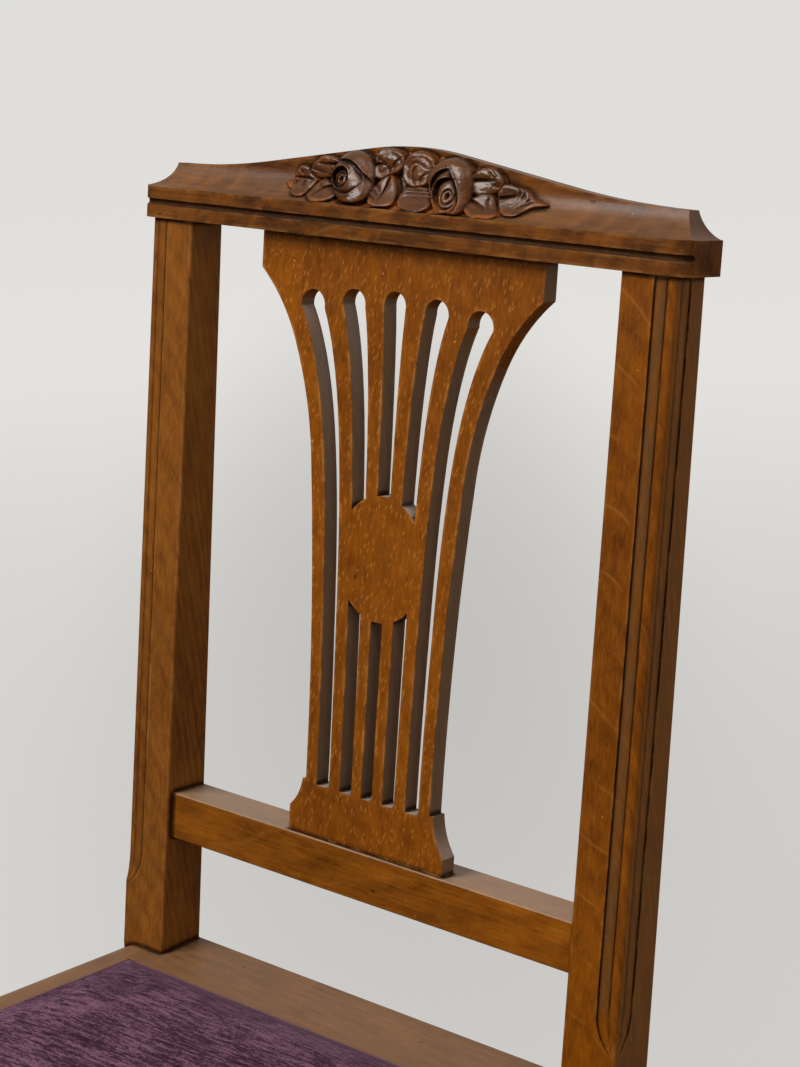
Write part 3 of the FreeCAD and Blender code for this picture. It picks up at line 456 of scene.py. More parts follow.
@dataclass(frozen=True)
class StainedBeech:
    """Beech stained to look like walnut, under a worn shellac polish."""

    name: str
    dark: Colour
    light: Colour
    bare: Colour = srgb(172, 116, 56)
    raw: Colour = srgb(160, 120, 78)
    raw_share: float = 0.85
    # The dark tone stains the nicks, and is painted into corners and cracks as shade.
    dirt_and_shade: Colour = srgb(20, 9, 4)
    ring_pitch: float = 0.0052
    ring_share: float = 0.14
    arc_share: float = 0.05
    figure_share: float = 0.0
    figure_tilt: float = 0.45
    fleck_share: float = 0.2
    nick_share: float = 0.75
    # Upward faces lighten towards this tone: partly dust, partly a painted grey reflection of the room in the
    # polish.
    dust_and_sheen: Colour = srgb(150, 122, 96)
    dust_and_sheen_share: float = 0.2
    wear: float = 0.35
    # How dark the painted shade in corners and cracks is, and how shut in a place must be before it starts.
    dirt_and_shade_share: float = 0.85
    dirt_and_shade_start: float = 0.60
    arris_reach: float = 0.0022
    corner_reach: float = 0.012
    crack_reach: float = 0.0034
    polish: float = 0.34
    shine: float = 0.25
    coat: float = 0.10
    coat_roughness: float = 0.22
    edge_radius: float = 0.00035
    dull: Colour = srgb(108, 72, 36)
    dull_band: tuple[float, float] | None = None
    dull_from: float = 0.498

    def material(self, piece: str, grain: Grain, seed: int, pith: tuple[float, float] = (0.05, 0.07),
                 raw_ways: Sequence[Triple] = ()) -> Material:
        """Builds the finish for one piece.

        Args:
            piece: the piece's name.
            grain: which way its fibres run.
            seed: moves the pattern, so that no two pieces match.
            pith: how far the tree's middle lies from the piece, across the fibres.
            raw_ways: which way its unstained faces look.

        Returns:
            The material.
        """
        s = Shading(f"{self.name}_{piece}")
        p = s.place(grain.value, (0.371 * seed % 1.7, 0.213 * seed % 1.3, 0.457 * seed % 1.9))
        faces = s.add("NewGeometry").outputs
        streaks, pores, nicks = STREAKS.on(s, p), PORES.on(s, p), NICKS.on(s, p)
        bands, arcs = self.rings(s, p, s.place(grain.value), pith)
        colour = self.stain(s, p, grain, seed, streaks, bands)
        colour = s.blend(s.times(s.spread(pores, 0.36, 0.2), 0.45), colour, shade(self.dark, 0.35))
        flecks = s.larger(LEANING_FLECKS.on(s, p), STEEP_FLECKS.on(s, p))
        broad = s.sum("ABSOLUTE", s.facing(faces["True Normal"], BACK))
        flecks = s.times(s.times(flecks, s.spread(broad, 0.5, 0.8, 0.15, 1.0)), self.fleck_share)
        pale = tuple(0.6 * a + 0.4 * b for a, b in zip(self.light, self.bare))
        colour = s.blend(s.larger(flecks, s.times(arcs, self.arc_share)), colour, pale)
        colour = s.blend(s.times(nicks, self.nick_share), colour, self.dirt_and_shade)
        colour = s.blend(s.times(PALE_SPECKS.on(s, p), self.nick_share), colour, self.bare)
        # Dust and a painted reflection lighten the faces that look up.
        drifts = s.spread(s.noise(p, 30.0, 4.0, 0.65), 0.25, 0.6, 0.5, 1.0)
        dust_and_sheen = s.times(s.spread(s.facing(faces["Normal"], UP), 0.1, 0.75), drifts)
        colour = s.blend(s.times(dust_and_sheen, self.dust_and_sheen_share), colour, self.dust_and_sheen)
        for way in raw_ways:
            seen = s.spread(s.facing(faces["True Normal"], way), 0.9, 0.96, 0.0, self.raw_share)
            colour = s.blend(seen, colour, s.blend(streaks, shade(self.raw, 0.6), self.raw))
        worn, crevice = self.wear_masks(s, p)
        if self.dull_band:
            band, valley = self.reed_masks(s, p, faces["True Normal"])
            colour = s.blend(band, colour, s.blend(streaks, shade(self.dull, 0.5), self.dull))
            crevice = s.larger(crevice, valley)
        # Painted shade: corners, cracks and the reed's valley are darkened towards the dark tone.
        colour = s.blend(s.times(crevice, self.dirt_and_shade_share), colour, self.dirt_and_shade)
        colour = s.blend(worn, colour, self.bare)
        matt = s.larger(s.larger(worn, crevice), s.times(dust_and_sheen, 0.6))
        rough = s.times_plus(matt, 0.35, s.times_plus(s.noise(p, 46.0, 3.0), 0.16, self.polish - 0.08))
        clean = s.sum("SUBTRACT", 1.0, matt)
        height = s.times_plus(s.plus(streaks, pores), 0.5, s.times(nicks, -3.0))
        softened = s.add("Bevel", {"samples": 3}, Radius=self.edge_radius).outputs[0]
        s.set(Base_Color=colour, Roughness=rough, IOR=1.45,
              Specular_IOR_Level=s.times_plus(clean, self.shine, 0.05), Coat_Weight=s.times(clean, self.coat),
              Coat_Roughness=self.coat_roughness, Normal=s.bump(height, 0.00012, 0.55, softened))
        return s.material

    def stain(self, s: Shading, p: Socket, grain: Grain, seed: int, streaks: Socket, bands: Socket) -> Socket:
        """The stained wood's colour, between its dark and its light tone.

        Args:
            s: the material being built.
            p: the pattern's coordinates.
            grain: which way the fibres run.
            seed: moves the figure.
            streaks: the fine streaks along the fibres.
            bands: the dark growth rings.

        Returns:
            The colour's socket.
        """
        about_x, about_y, about_z = grain.value
        tilted = s.place((about_x, about_y + self.figure_tilt, about_z), (0.1 * seed, 0.0, 0.0))
        figure = s.noise(s.scaled(tilted, (0.3, 0.3, 1.0)), 70.0, 4.0, 0.62)
        cloudy = s.times(s.spread(CLOUDS.on(s, p), 0.34, 0.66), 0.30)
        tone = s.times_plus(s.spread(streaks, 0.3, 0.7), 0.34, cloudy)
        tone = s.times_plus(s.spread(BLOTCHES.on(s, p), 0.3, 0.7), 0.22, tone)
        tone = s.times_plus(s.spread(figure, 0.42, 0.58, -0.5, 0.5), self.figure_share, tone)
        tone = s.times_plus(bands, -self.ring_share, s.plus(tone, 0.14), clamp=True)
        return s.blend(tone, self.dark, self.light)

    def rings(self, s: Shading, p: Socket, own: Socket, pith: tuple[float, float]) -> tuple[Socket, Socket]:
        """Growth rings round a tree's middle that lies off the piece.

        Args:
            s: the material being built.
            p: the pattern's coordinates.
            own: the piece's coordinates with the fibres along Z.
            pith: how far off the tree's middle lies.

        Returns:
            The dark bands and the thin pale arcs.
        """
        push = s.add("TexNoise", Vector=s.scaled(p, (1, 1, 0.2)), Scale=9.0, Detail=2.0).outputs[1]
        wander = s.vector("SUBTRACT", push, (0.5, 0.5, 0.5)).outputs[0]
        moved = s.vector("ADD", own, s.scaled(wander, (0.008, 0.008, 0.008))).outputs[0]
        x, y, z = s.add("SeparateXYZ", Vector=moved).outputs
        across = s.plus(x, s.times_plus(z, 0.09, pith[0]))
        deep = s.plus(y, s.times_plus(z, 0.05, pith[1]))
        radius = s.sum("SQRT", s.plus(s.sum("POWER", across, 2.0), s.sum("POWER", deep, 2.0)))
        uneven = UNEVEN_YEARS.on(s, p)
        turn = s.times_plus(radius, 2 * math.pi / self.ring_pitch, s.times(uneven, 1.8))
        bands = s.sum("POWER", s.times_plus(s.sum("SINE", turn), 0.5, 0.5), 2.0)
        faint = s.times_plus(radius, 2 * math.pi / (1.7 * self.ring_pitch), s.times(uneven, 5.0))
        arcs = s.times(s.spread(s.sum("SINE", faint), 0.965, 1.0), s.spread(s.noise(p, 38.0, 2.0), 0.42, 0.6))
        return bands, arcs

    def reed_masks(self, s: Shading, p: Socket, normal: Socket) -> tuple[Socket, Socket]:
        """Masks of the front reed, whose polish is gone, and of the valley beside it.

        Args:
            s: the material being built.
            p: the pattern's coordinates.
            normal: the direction that a face looks.

        Returns:
            The dull reed's mask and the mask of a painted shade line along the valley.
        """
        start, end = self.dull_band
        x, _, z = s.add("SeparateXYZ", Vector=s.place()).outputs
        high = s.spread(z, self.dull_from, self.dull_from + 0.012)
        above = s.times(s.spread(s.facing(normal, FRONT), 0.3, 0.6), high)
        patchy = s.spread(BALD_PATCHES.on(s, p), 0.36, 0.60, 0.35, 0.9)
        soft = 0.0003
        band = s.times(s.spread(x, start - soft, start + soft), s.spread(x, end + soft, end - soft))
        # A painted shade line along the valley beside the reed, uneven along its length.
        near = s.spread(s.sum("ABSOLUTE", s.sum("SUBTRACT", x, end)), 0.0008, 0.0002)
        valley = s.times(near, s.spread(VALLEY_SHADE_NOISE.on(s, p), 0.3, 0.5, 0.45, 1.0))
        return s.times(s.times(band, above), patchy), s.times(valley, above)

    def wear_masks(self, s: Shading, p: Socket) -> tuple[Socket, Socket]:
        """Masks of the rubbed arrises and of the corners and cracks that get painted shade.

        Args:
            s: the material being built.
            p: the pattern's coordinates.

        Returns:
            The worn mask and the mask of painted shade in corners and cracks.
        """
        thin = s.spread(s.closed_in(self.arris_reach, 4, inner=True), 0.92, 0.62)
        # Places that surfaces crowd get painted shade, broad in corners and thin in cracks.
        corner = s.spread(s.closed_in(self.corner_reach, 4), self.dirt_and_shade_start, 0.2)
        crack = s.spread(s.closed_in(self.crack_reach, 5), 0.985, 0.84)
        rubbed = s.spread(s.noise(p, 60.0, 4.0, 0.65), 0.44, 0.62)
        return s.times(s.times(thin, rubbed), self.wear, clamp=True), s.larger(corner, crack)


LEFT_POST_BEECH = StainedBeech("beech_frame", srgb(80, 38, 6), srgb(138, 83, 24), arc_share=0.2, wear=0.5)
RIGHT_POST_BEECH = StainedBeech("beech_frame", srgb(80, 36, 0), srgb(138, 76, 2), raw=srgb(138, 104, 70),
                                raw_share=0.35, arc_share=0.35, dull_band=(0.1742, 0.1818))
HONEY_BEECH = StainedBeech("beech_frame", srgb(84, 42, 0), srgb(146, 83, 8), dust_and_sheen=srgb(166, 150, 130),
                           dust_and_sheen_share=0.5, arc_share=0.15, figure_share=0.1)
SEAT_BEECH = StainedBeech("beech_frame", srgb(70, 38, 14), srgb(126, 80, 38), nick_share=0.95, dust_and_sheen_share=0.3,
                          wear=0.15)
CREST_BEECH = StainedBeech("beech_carved", srgb(54, 25, 3), srgb(114, 64, 14), ring_share=0.1, arc_share=0.3,
                           figure_share=0.35)
# The carving has strong painted shade in its crevices and under its leaves.
CARVED_BEECH = StainedBeech("beech_carved", srgb(40, 19, 5), srgb(98, 55, 20), bare=srgb(158, 88, 34),
                            ring_share=0.05, dust_and_sheen_share=0.05, dirt_and_shade_share=0.97, dirt_and_shade_start=0.82, wear=0.55,
                            polish=0.21, shine=0.42, coat=0.12)
SPLAT_BEECH = StainedBeech("beech_splat", srgb(86, 40, 0), srgb(142, 78, 4), bare=srgb(206, 140, 66),
                           raw=srgb(124, 102, 80), raw_share=0.8, dust_and_sheen=srgb(172, 164, 152), dust_and_sheen_share=0.75,
                           ring_share=0.06, fleck_share=0.62)
RAW_BEECH = StainedBeech("raw_beech", srgb(138, 100, 60), srgb(192, 156, 110), bare=srgb(206, 176, 134),
                         dirt_and_shade=srgb(80, 60, 40), wear=0.2, dirt_and_shade_share=0.5, polish=0.72, coat=0.0,
                         fleck_share=0.5, ring_share=0.2)


@dataclass(frozen=True)
class Cloth:
    """A woven cloth with crossing threads."""

    name: str
    dark: Colour
    light: Colour
    pitch: float
    rough: float = 0.9
    depth: float = 0.0003
    sheen: float = 0.25

    def material(self, piece: str) -> Material:
        """Builds the cloth's finish for one piece."""
        s = Shading(f"{self.name}_{piece}")
        p = s.place()
        x, y, _ = s.add("SeparateXYZ", Vector=s.bent(p, 60.0, (0.0012, 0.0012, 0.0))).outputs
        warp, weft = (s.sum("SINE", s.times(place, 2 * math.pi / self.pitch)) for place in (x, y))
        raised = s.times(s.plus(s.sum("ABSOLUTE", warp), s.sum("ABSOLUTE", weft)), 0.35)
        woven = s.times_plus(s.larger(s.times(warp, weft), raised), 0.5, 0.5)
        fibre = s.noise(p, 1800.0, 2.0, 0.7)
        patch = s.noise(p, 22.0, 3.0)
        tone = s.plus(s.times(woven, 0.45), s.times(s.plus(fibre, patch), 0.3), clamp=True)
        s.set(Base_Color=s.blend(tone, self.dark, self.light), Roughness=self.rough, Sheen_Weight=self.sheen,
              Normal=s.bump(s.times_plus(fibre, 0.3, woven), self.depth, 0.8))
        return s.material


@dataclass(frozen=True)
class Velvet:
    """Plum velvet with a slubbed pile that runs across the seat."""

    name: str = "plum_velvet"
    dark: Colour = srgb(38, 8, 24)
    middle: Colour = srgb(70, 34, 52)
    light: Colour = srgb(121, 83, 104)
    sheen: float = 0.16
    sheen_tint: tuple[float, float, float, float] = (0.62, 0.40, 0.54, 1.0)

    def material(self, piece: str) -> Material:
        """Builds the velvet for one piece."""
        s = Shading(f"{self.name}_{piece}")
        p = s.place()
        bent = s.bent(p, 30.0, (0.0, 0.004, 0.0))
        slubs = s.noise(s.scaled(bent, (1, 8, 8)), 48.0, 4.0, 0.68)
        threads = s.noise(s.scaled(bent, (1, 5, 5)), 230.0, 3.0, 0.66)
        crush = s.noise(p, 21.0, 3.0, 0.55)
        pile = s.noise(p, 640.0, 3.0, 0.9)
        low = s.times_plus(crush, 0.32, s.times_plus(slubs, 0.85, s.times(threads, 0.55)))
        tone = s.spread(low, 0.725, 0.975)
        grainy = s.times_plus(s.sum("SUBTRACT", pile, 0.5), 3.4, tone, clamp=True)
        colour = s.blend(s.spread(grainy, 0.0, 0.55), self.dark, self.middle)
        colour = s.blend(s.spread(grainy, 0.45, 1.0), colour, self.light)
        s.set(Base_Color=colour, Roughness=0.85, Sheen_Weight=self.sheen, Sheen_Roughness=0.4,
              Sheen_Tint=self.sheen_tint, Specular_IOR_Level=0.12,
              Normal=s.bump(s.times_plus(tone, 0.7, s.times(pile, 0.35)), 0.0010, 0.85))
        return s.material


@dataclass(frozen=True)
class Braid:
    """Mauve-grey braid with a soft sheen on its threads."""

    name: str = "gimp_cloth"
    dark: Colour = srgb(62, 36, 50)
    light: Colour = srgb(120, 84, 104)

    def material(self, piece: str) -> Material:
        """Builds the braid's finish for one piece."""
        s = Shading(f"{self.name}_{piece}")
        p = s.place()
        fibre = s.noise(p, 2200.0, 2.0, 0.7)
        patch = s.noise(p, 40.0, 3.0)
        tone = s.times_plus(fibre, 0.6, s.times(patch, 0.5), clamp=True)
        # Painted shade where the braid's threads, its cords and the wood beside it crowd a place.
        braid_shade = s.spread(s.closed_in(0.0012, 6), 0.9, 0.35)
        colour = s.blend(braid_shade, s.blend(tone, self.dark, self.light), shade(self.dark, 0.4))
        s.set(Base_Color=colour, Roughness=0.85, Specular_IOR_Level=0.15, Sheen_Weight=0.08,
              Sheen_Roughness=0.5, Normal=s.bump(fibre, 0.0002, 0.6))
        return s.material


@dataclass(frozen=True)
class Steel:
    """Dull small hardware with a little rust."""

    name: str
    tone: Colour
    rust: Colour = srgb(96, 58, 34)
    rust_share: float = 0.35

    def material(self, piece: str) -> Material:
        """Builds the metal's finish for one piece."""
        s = Shading(f"{self.name}_{piece}")
        p = s.place()
        spots = s.times(s.spread(s.noise(p, 420.0, 3.0, 0.6), 0.5, 0.66), self.rust_share)
        fine = s.noise(p, 2600.0, 2.0)
        s.set(Base_Color=s.blend(spots, self.tone, self.rust), Metallic=s.sum("SUBTRACT", 0.95, spots),
              Roughness=s.times_plus(fine, 0.25, 0.32), Normal=s.bump(fine, 0.00005, 0.5))
        return s.material


@dataclass(frozen=True)
class CurledHair:
    """Curled hair and fibre, dark and matted."""

    name: str = "hair_stuffing"
    dark: Colour = srgb(52, 38, 26)
    light: Colour = srgb(140, 112, 82)

    def material(self, piece: str) -> Material:
        """Builds the stuffing's finish for one piece."""
        s = Shading(f"{self.name}_{piece}")
        bent = s.bent(s.place(), 110.0, (0.006, 0.006, 0.006))
        strands = s.add("TexWave", {"wave_type": "BANDS"}, Vector=bent, Scale=240.0, Distortion=9.0,
                        Detail=3.0).outputs[1]
        s.set(Base_Color=s.blend(strands, self.dark, self.light), Roughness=0.8,
              Normal=s.bump(strands, 0.0009, 0.9))
        return s.material


HESSIAN = Cloth("hessian_cloth", srgb(92, 70, 42), srgb(178, 150, 106), 0.0021)
JUTE = Cloth("jute_webbing", srgb(88, 66, 40), srgb(172, 140, 96), 0.0032, depth=0.0006)
CALICO = Cloth("calico_cloth", srgb(176, 166, 144), srgb(228, 220, 200), 0.0009, depth=0.00012)
SCREW_STEEL = Steel("screw_steel", srgb(150, 144, 134))
BLUED_STEEL = Steel("blued_steel", srgb(52, 56, 66), rust_share=0.25)


@dataclass(frozen=True)
class Lamp:
    """A soft square lamp: where it hangs, what it points at, its side in metres, its watts and its colour."""

    name: str
    place: Triple
    aim: Triple
    size: float
    power: float
    tone: Colour
    mirrored: bool = True

    def hang(self) -> Piece:
        """Puts the lamp into the scene."""
        data = bpy.data.lights.new(self.name, "AREA")
        data.size = self.size
        data.energy = self.power
        data.color = self.tone
        lamp = in_scene(self.name, data)
        lamp.location = self.place
        lamp.rotation_euler = (Vector(self.aim) - Vector(self.place)).to_track_quat("-Z", "Y").to_euler()
        lamp.visible_glossy = self.mirrored
        return lamp


@dataclass
class Stage:
    """The plain floor, the light and the camera."""

    floor_reach: float = 40.0
    floor_tone: Colour = (0.42, 0.415, 0.405)
    seen_tone: Colour = (0.745, 0.73, 0.70)
    mirror_tone: Colour = (0.04, 0.03, 0.022)
    horizon_tone: Colour = (0.740, 0.729, 0.701)
    air_tone: Colour = (0.98, 0.99, 1.0)
    near_glow: float = 0.42
    far_glow: float = 0.86
    glow_reach: tuple[float, float] = (0.3, 5.0)
    # Where the painted soft shadow of the chair lies in the floor's glow, how far it reaches, and how dark it
    # is.
    shade_place: Triple = (-1.95, 2.55, 0.0)
    shade_reach: Triple = (0.62, 3.4, 1.0)
    shade: float = 0.17
    air: float = 0.22
    air_before: float = 0.12
    air_behind: float = 0.80
    air_turn: tuple[float, float] = (-0.1, 0.6)
    camera_place: Triple = (0.8276, -0.8056, 1.0772)
    camera_turn: Triple = (math.pi / 2 - 0.26087974, 0.0, 0.69119608)
    lens: float = 78.95
    lamps: tuple[Lamp, ...] = (
        Lamp("window", (-1.3, -1.9, 2.9), (0.0, 0.1, 0.6), 1.5, 102.0, (1.0, 0.98, 0.95)),
        Lamp("fill", (2.2, -1.6, 1.5), (0.0, 0.0, 0.6), 1.6, 20.0, (1.0, 0.98, 0.95), mirrored=False),
        Lamp("ceiling", (0.7, -0.6, 3.0), (0.0, 0.1, 0.6), 0.8, 11.0, (1.0, 0.99, 0.98)),
    )

    def floor(self) -> Piece:
        """A wide pale floor that takes the lamps' shadows and brightens away from the chair, with a soft
        shadow of the chair painted into the glow that the camera sees.
        """
        s = Shading("pale_floor")
        ray = s.add("LightPath").outputs
        away = s.vector("LENGTH", s.place()).outputs["Value"]
        glow = s.spread(away, *self.glow_reach, self.near_glow, self.far_glow)
        # A painted soft shadow of the chair: the glow that the camera sees is dimmed round a place behind the
        # chair.
        behind = s.scaled(s.place((0.0, 0.0, self.camera_turn[2]), self.shade_place),
                          tuple(1 / reach for reach in self.shade_reach))
        shadow = s.spread(s.vector("LENGTH", behind).outputs["Value"], 0.15, 1.0, -self.shade, 0.0)
        s.set(Base_Color=s.blend(ray["Is Glossy Ray"], self.floor_tone, self.mirror_tone), Roughness=0.95,
              Specular_IOR_Level=0.1, Emission_Color=(*self.seen_tone, 1.0),
              Emission_Strength=s.times(ray["Is Camera Ray"], s.plus(glow, shadow)))
        r = self.floor_reach
        corners = [(-r, -r, 0), (r, -r, 0), (r, r, 0), (-r, r, 0)]
        return new_object("floor", corners, [(0, 1, 2, 3)], s.material, False)

    def world(self) -> None:
        """Plain pale surroundings: in the polish, a dim room before the chair and a bright wall behind it."""
        world = bpy.data.worlds.new("studio")
        bpy.context.scene.world = world
        world.use_nodes = True
        tree = world.node_tree
        ray, way, parts, behind, mix, seen, tone = (tree.nodes.new("ShaderNode" + kind) for kind in (
            "LightPath", "TexCoord", "SeparateXYZ", "MapRange", "Mix", "Mix", "Mix"))
        tone.data_type = "RGBA"
        camera, mirror = ray.outputs["Is Camera Ray"], ray.outputs["Is Glossy Ray"]
        air = tree.nodes["Background"]
        feed(tree, parts.inputs[0], way.outputs["Generated"])
        turn = (parts.outputs[1], *self.air_turn, self.air_before, self.air_behind)
        settings = ((behind, dict(enumerate(turn))), (mix, {0: mirror, 2: self.air, 3: behind.outputs[0]}),
                    (seen, {0: camera, 2: mix.outputs[0], 3: 1.0}),
                    (tone, {0: camera, 6: (*self.air_tone, 1.0), 7: (*self.horizon_tone, 1.0)}))
        for node, values in settings:
            for number, value in values.items():
                feed(tree, node.inputs[number], value)
        feed(tree, air.inputs["Strength"], seen.outputs[0])
        feed(tree, air.inputs["Color"], tone.outputs[2])

    def camera(self) -> Piece:
        """The camera at the photograph's angle."""
        data = bpy.data.cameras.new("camera")
        data.lens = self.lens
        data.sensor_width = 36.0
        camera = in_scene("camera", data)
        camera.location = self.camera_place
        camera.rotation_euler = self.camera_turn
        bpy.context.scene.camera = camera
        return camera

    def build(self) -> None:
        """Sets the whole stage."""
        bpy.context.scene.view_settings.view_transform = "Standard"
        self.world()
        self.camera()
        key, fill, above = (lamp.hang() for lamp in self.lamps)
        self.floor()
        log.info("stage: floor, three lamps, camera")


def curve_through(points: Line, closed: bool, steps: int = 9) -> Net:
    """A smooth line through points.

    Args:
        points: places to pass through.
        closed: whether it comes back to its start.
        steps: pieces between two points.

    Returns:
        One row for each place on the line.
    """
    p = np.array(points, float)
    count = len(p)
    spans = range(count if closed else count - 1)
    rows = []
    for i in spans:
        if closed:
            a, b, c, d = p[i - 1], p[i], p[(i + 1) % count], p[(i + 2) % count]
        else:
            a, b, c, d = p[max(i - 1, 0)], p[i], p[i + 1], p[min(i + 2, count - 1)]
        t = (np.arange(steps) / steps)[:, None]
        bend, twist = 2 * a - 5 * b + 4 * c - d, 3 * b - a - 3 * c + d
        rows.append(0.5 * (2 * b + (c - a) * t + bend * t ** 2 + twist * t ** 3))
    if not closed:
        rows.append(p[-1:])
    return np.concatenate(rows)


def reach_to(u: Net, v: Net, line: Net, closed: bool) -> tuple[Net, Net, Net]:
    """How far each place lies from a line.

    Args:
        u: places across.
        v: places up.
        line: rows of points.
        closed: whether the line comes back to its start.

    Returns:
        The distance, the side (positive to the left of the line's run) and the share along the line.
    """
    ends = np.roll(line, -1, 0) if closed else line[1:]
    starts = line if closed else line[:-1]
    best = np.full(u.shape, 1e9)
    side = np.zeros(u.shape)
    share = np.zeros(u.shape)
    for i, (a, b) in enumerate(zip(starts, ends)):
        d = b - a
        length = float(d @ d) or 1e-12
        t = np.clip(((u - a[0]) * d[0] + (v - a[1]) * d[1]) / length, 0, 1)
        du, dv = u - a[0] - t * d[0], v - a[1] - t * d[1]
        gap = du * du + dv * dv
        near = gap < best
        best = np.where(near, gap, best)
        side = np.where(near, d[0] * (v - a[1]) - d[1] * (u - a[0]), side)
        share = np.where(near, (i + t) / len(starts), share)
    return np.sqrt(best), np.sign(side), share


def inside(u: Net, v: Net, line: Net) -> Net:
    """True where a place lies within a closed line."""
    within = np.zeros(u.shape, bool)
    for a, b in zip(line, np.roll(line, -1, 0)):
        crosses = (a[1] > v) != (b[1] > v)
        with np.errstate(divide="ignore", invalid="ignore"):
            within ^= crosses & (u < (b[0] - a[0]) * (v - a[1]) / (b[1] - a[1]) + a[0])
    return within


@dataclass(frozen=True)
class Leaf:
    """A carved leaf or petal: its outline, its midrib and its gouge cuts, in millimetres on the back."""

    outline: Line
    veins: tuple[Line, ...] = ()
    cuts: tuple[Line, ...] = ()
    lift: float = 0.0
    dome: float = 1.5
    hollow: float = 0.0
    rim: float = 0.7
    hollow_place: float = 3.4
    hollow_width: float = 1.8
    groove: tuple[tuple[float, float], ...] = ((1.5, 0.55), (0.55, 1.9))
    fading: float = 0.75
    cut_depth: float = 0.9
    cut_slope: float = 1.0
    cut_wall: float = 0.25

    def front(self, u: Net, v: Net, drape: Net) -> tuple[Net, Net]:
        """The leaf's surface.

        Args:
            u: places across.
            v: places up.
            drape: the depth that the carving hangs on.

        Returns:
            Where the leaf is, and its depth there.
        """
        edge = curve_through(self.outline, True)
        within = inside(u, v, edge)
        gap, _, _ = reach_to(u, v, edge, True)
        hollow = self.hollow * np.exp(-((gap - self.hollow_place) / self.hollow_width) ** 2)
        depth = drape - self.lift - self.dome * (1 - np.exp(-gap / self.rim)) + hollow
        for vein in self.veins:
            near, _, share = reach_to(u, v, curve_through(vein, False), False)
            narrow, wide = (deep * np.exp(-(near / reach) ** 2) for deep, reach in self.groove)
            depth = depth + (1.1 - self.fading * share) * (narrow + wide)
        for cut in self.cuts:
            near, side, share = reach_to(u, v, curve_through(cut, False), False)
            fade = np.sqrt(np.sin(math.pi * np.clip(share, 0.04, 0.96)))
            reach = np.where(side > 0, self.cut_slope, self.cut_wall)
            depth = depth + fade * (self.cut_depth * np.exp(-near / reach))
        return within, depth


@dataclass(frozen=True)
class Lip:
    """A petal's edge that stands over the petal on its left hand."""

    line: Line
    drop: float
    reach: float
    rim_rise: float = 0.35
    rim_reach: float = 1.5
    wall: float = 0.22

    def step(self, u: Net, v: Net) -> Net:
        """How far the lip pushes the surface back, below it."""
        near, side, share = reach_to(u, v, curve_through(self.line, False), False)
        fade = np.sin(math.pi * np.clip(share, 0.03, 0.97)) ** 0.6
        under = self.drop * np.exp(-near / self.reach)
        rise = self.rim_rise * self.drop * np.exp(-(near / self.rim_reach) ** 2)
        rim = self.drop * np.exp(-near / self.wall) - rise
        return fade * np.where(side > 0, under, rim)


@dataclass(frozen=True)
class Rose:
    """A carved rose: a ball of petals with lips that step inwards to an eye."""

    outline: Line
    lips: tuple[Lip, ...]
    eye: tuple[float, float]
    bud: float = 5.2
    height: float = 6.2
    lift: float = 0.2
    ball: float = 12.5
    roundness: float = 2.3
    whorl_start: float = 0.62
    whorl_growth: float = 0.075
    whorl_depth: float = 1.3
    eye_depth: float = 2.6
    eye_reach: float = 1.35

    def front(self, u: Net, v: Net, drape: Net) -> tuple[Net, Net]:
        """The rose's surface.

        Args:
            u: places across.
            v: places up.
            drape: the depth that the carving hangs on.

        Returns:
            Where the rose is, and its depth there.
        """
        edge = curve_through(self.outline, True)
        within = inside(u, v, edge)
        gap, _, _ = reach_to(u, v, edge, True)
        share = np.clip(gap / self.ball, 0, 1)
        depth = drape - self.lift - self.height * np.sqrt(np.clip(1 - (1 - share) ** self.roundness, 0, 1))
        for lip in self.lips:
            depth = depth + lip.step(u, v)
        du, dv = u - self.eye[0], v - self.eye[1]
        around = np.hypot(du, dv * 0.92)
        turn = np.arctan2(dv, du)
        whorl = around - self.bud * (self.whorl_start + self.whorl_growth * ((turn - 0.4) % (2 * math.pi)))
        depth = depth + self.whorl_depth * np.exp(-np.abs(whorl) / np.where(whorl < 0, 0.9, 0.3))
        depth = depth + self.eye_depth * np.exp(-(around / self.eye_reach) ** 2)
        return within, depth


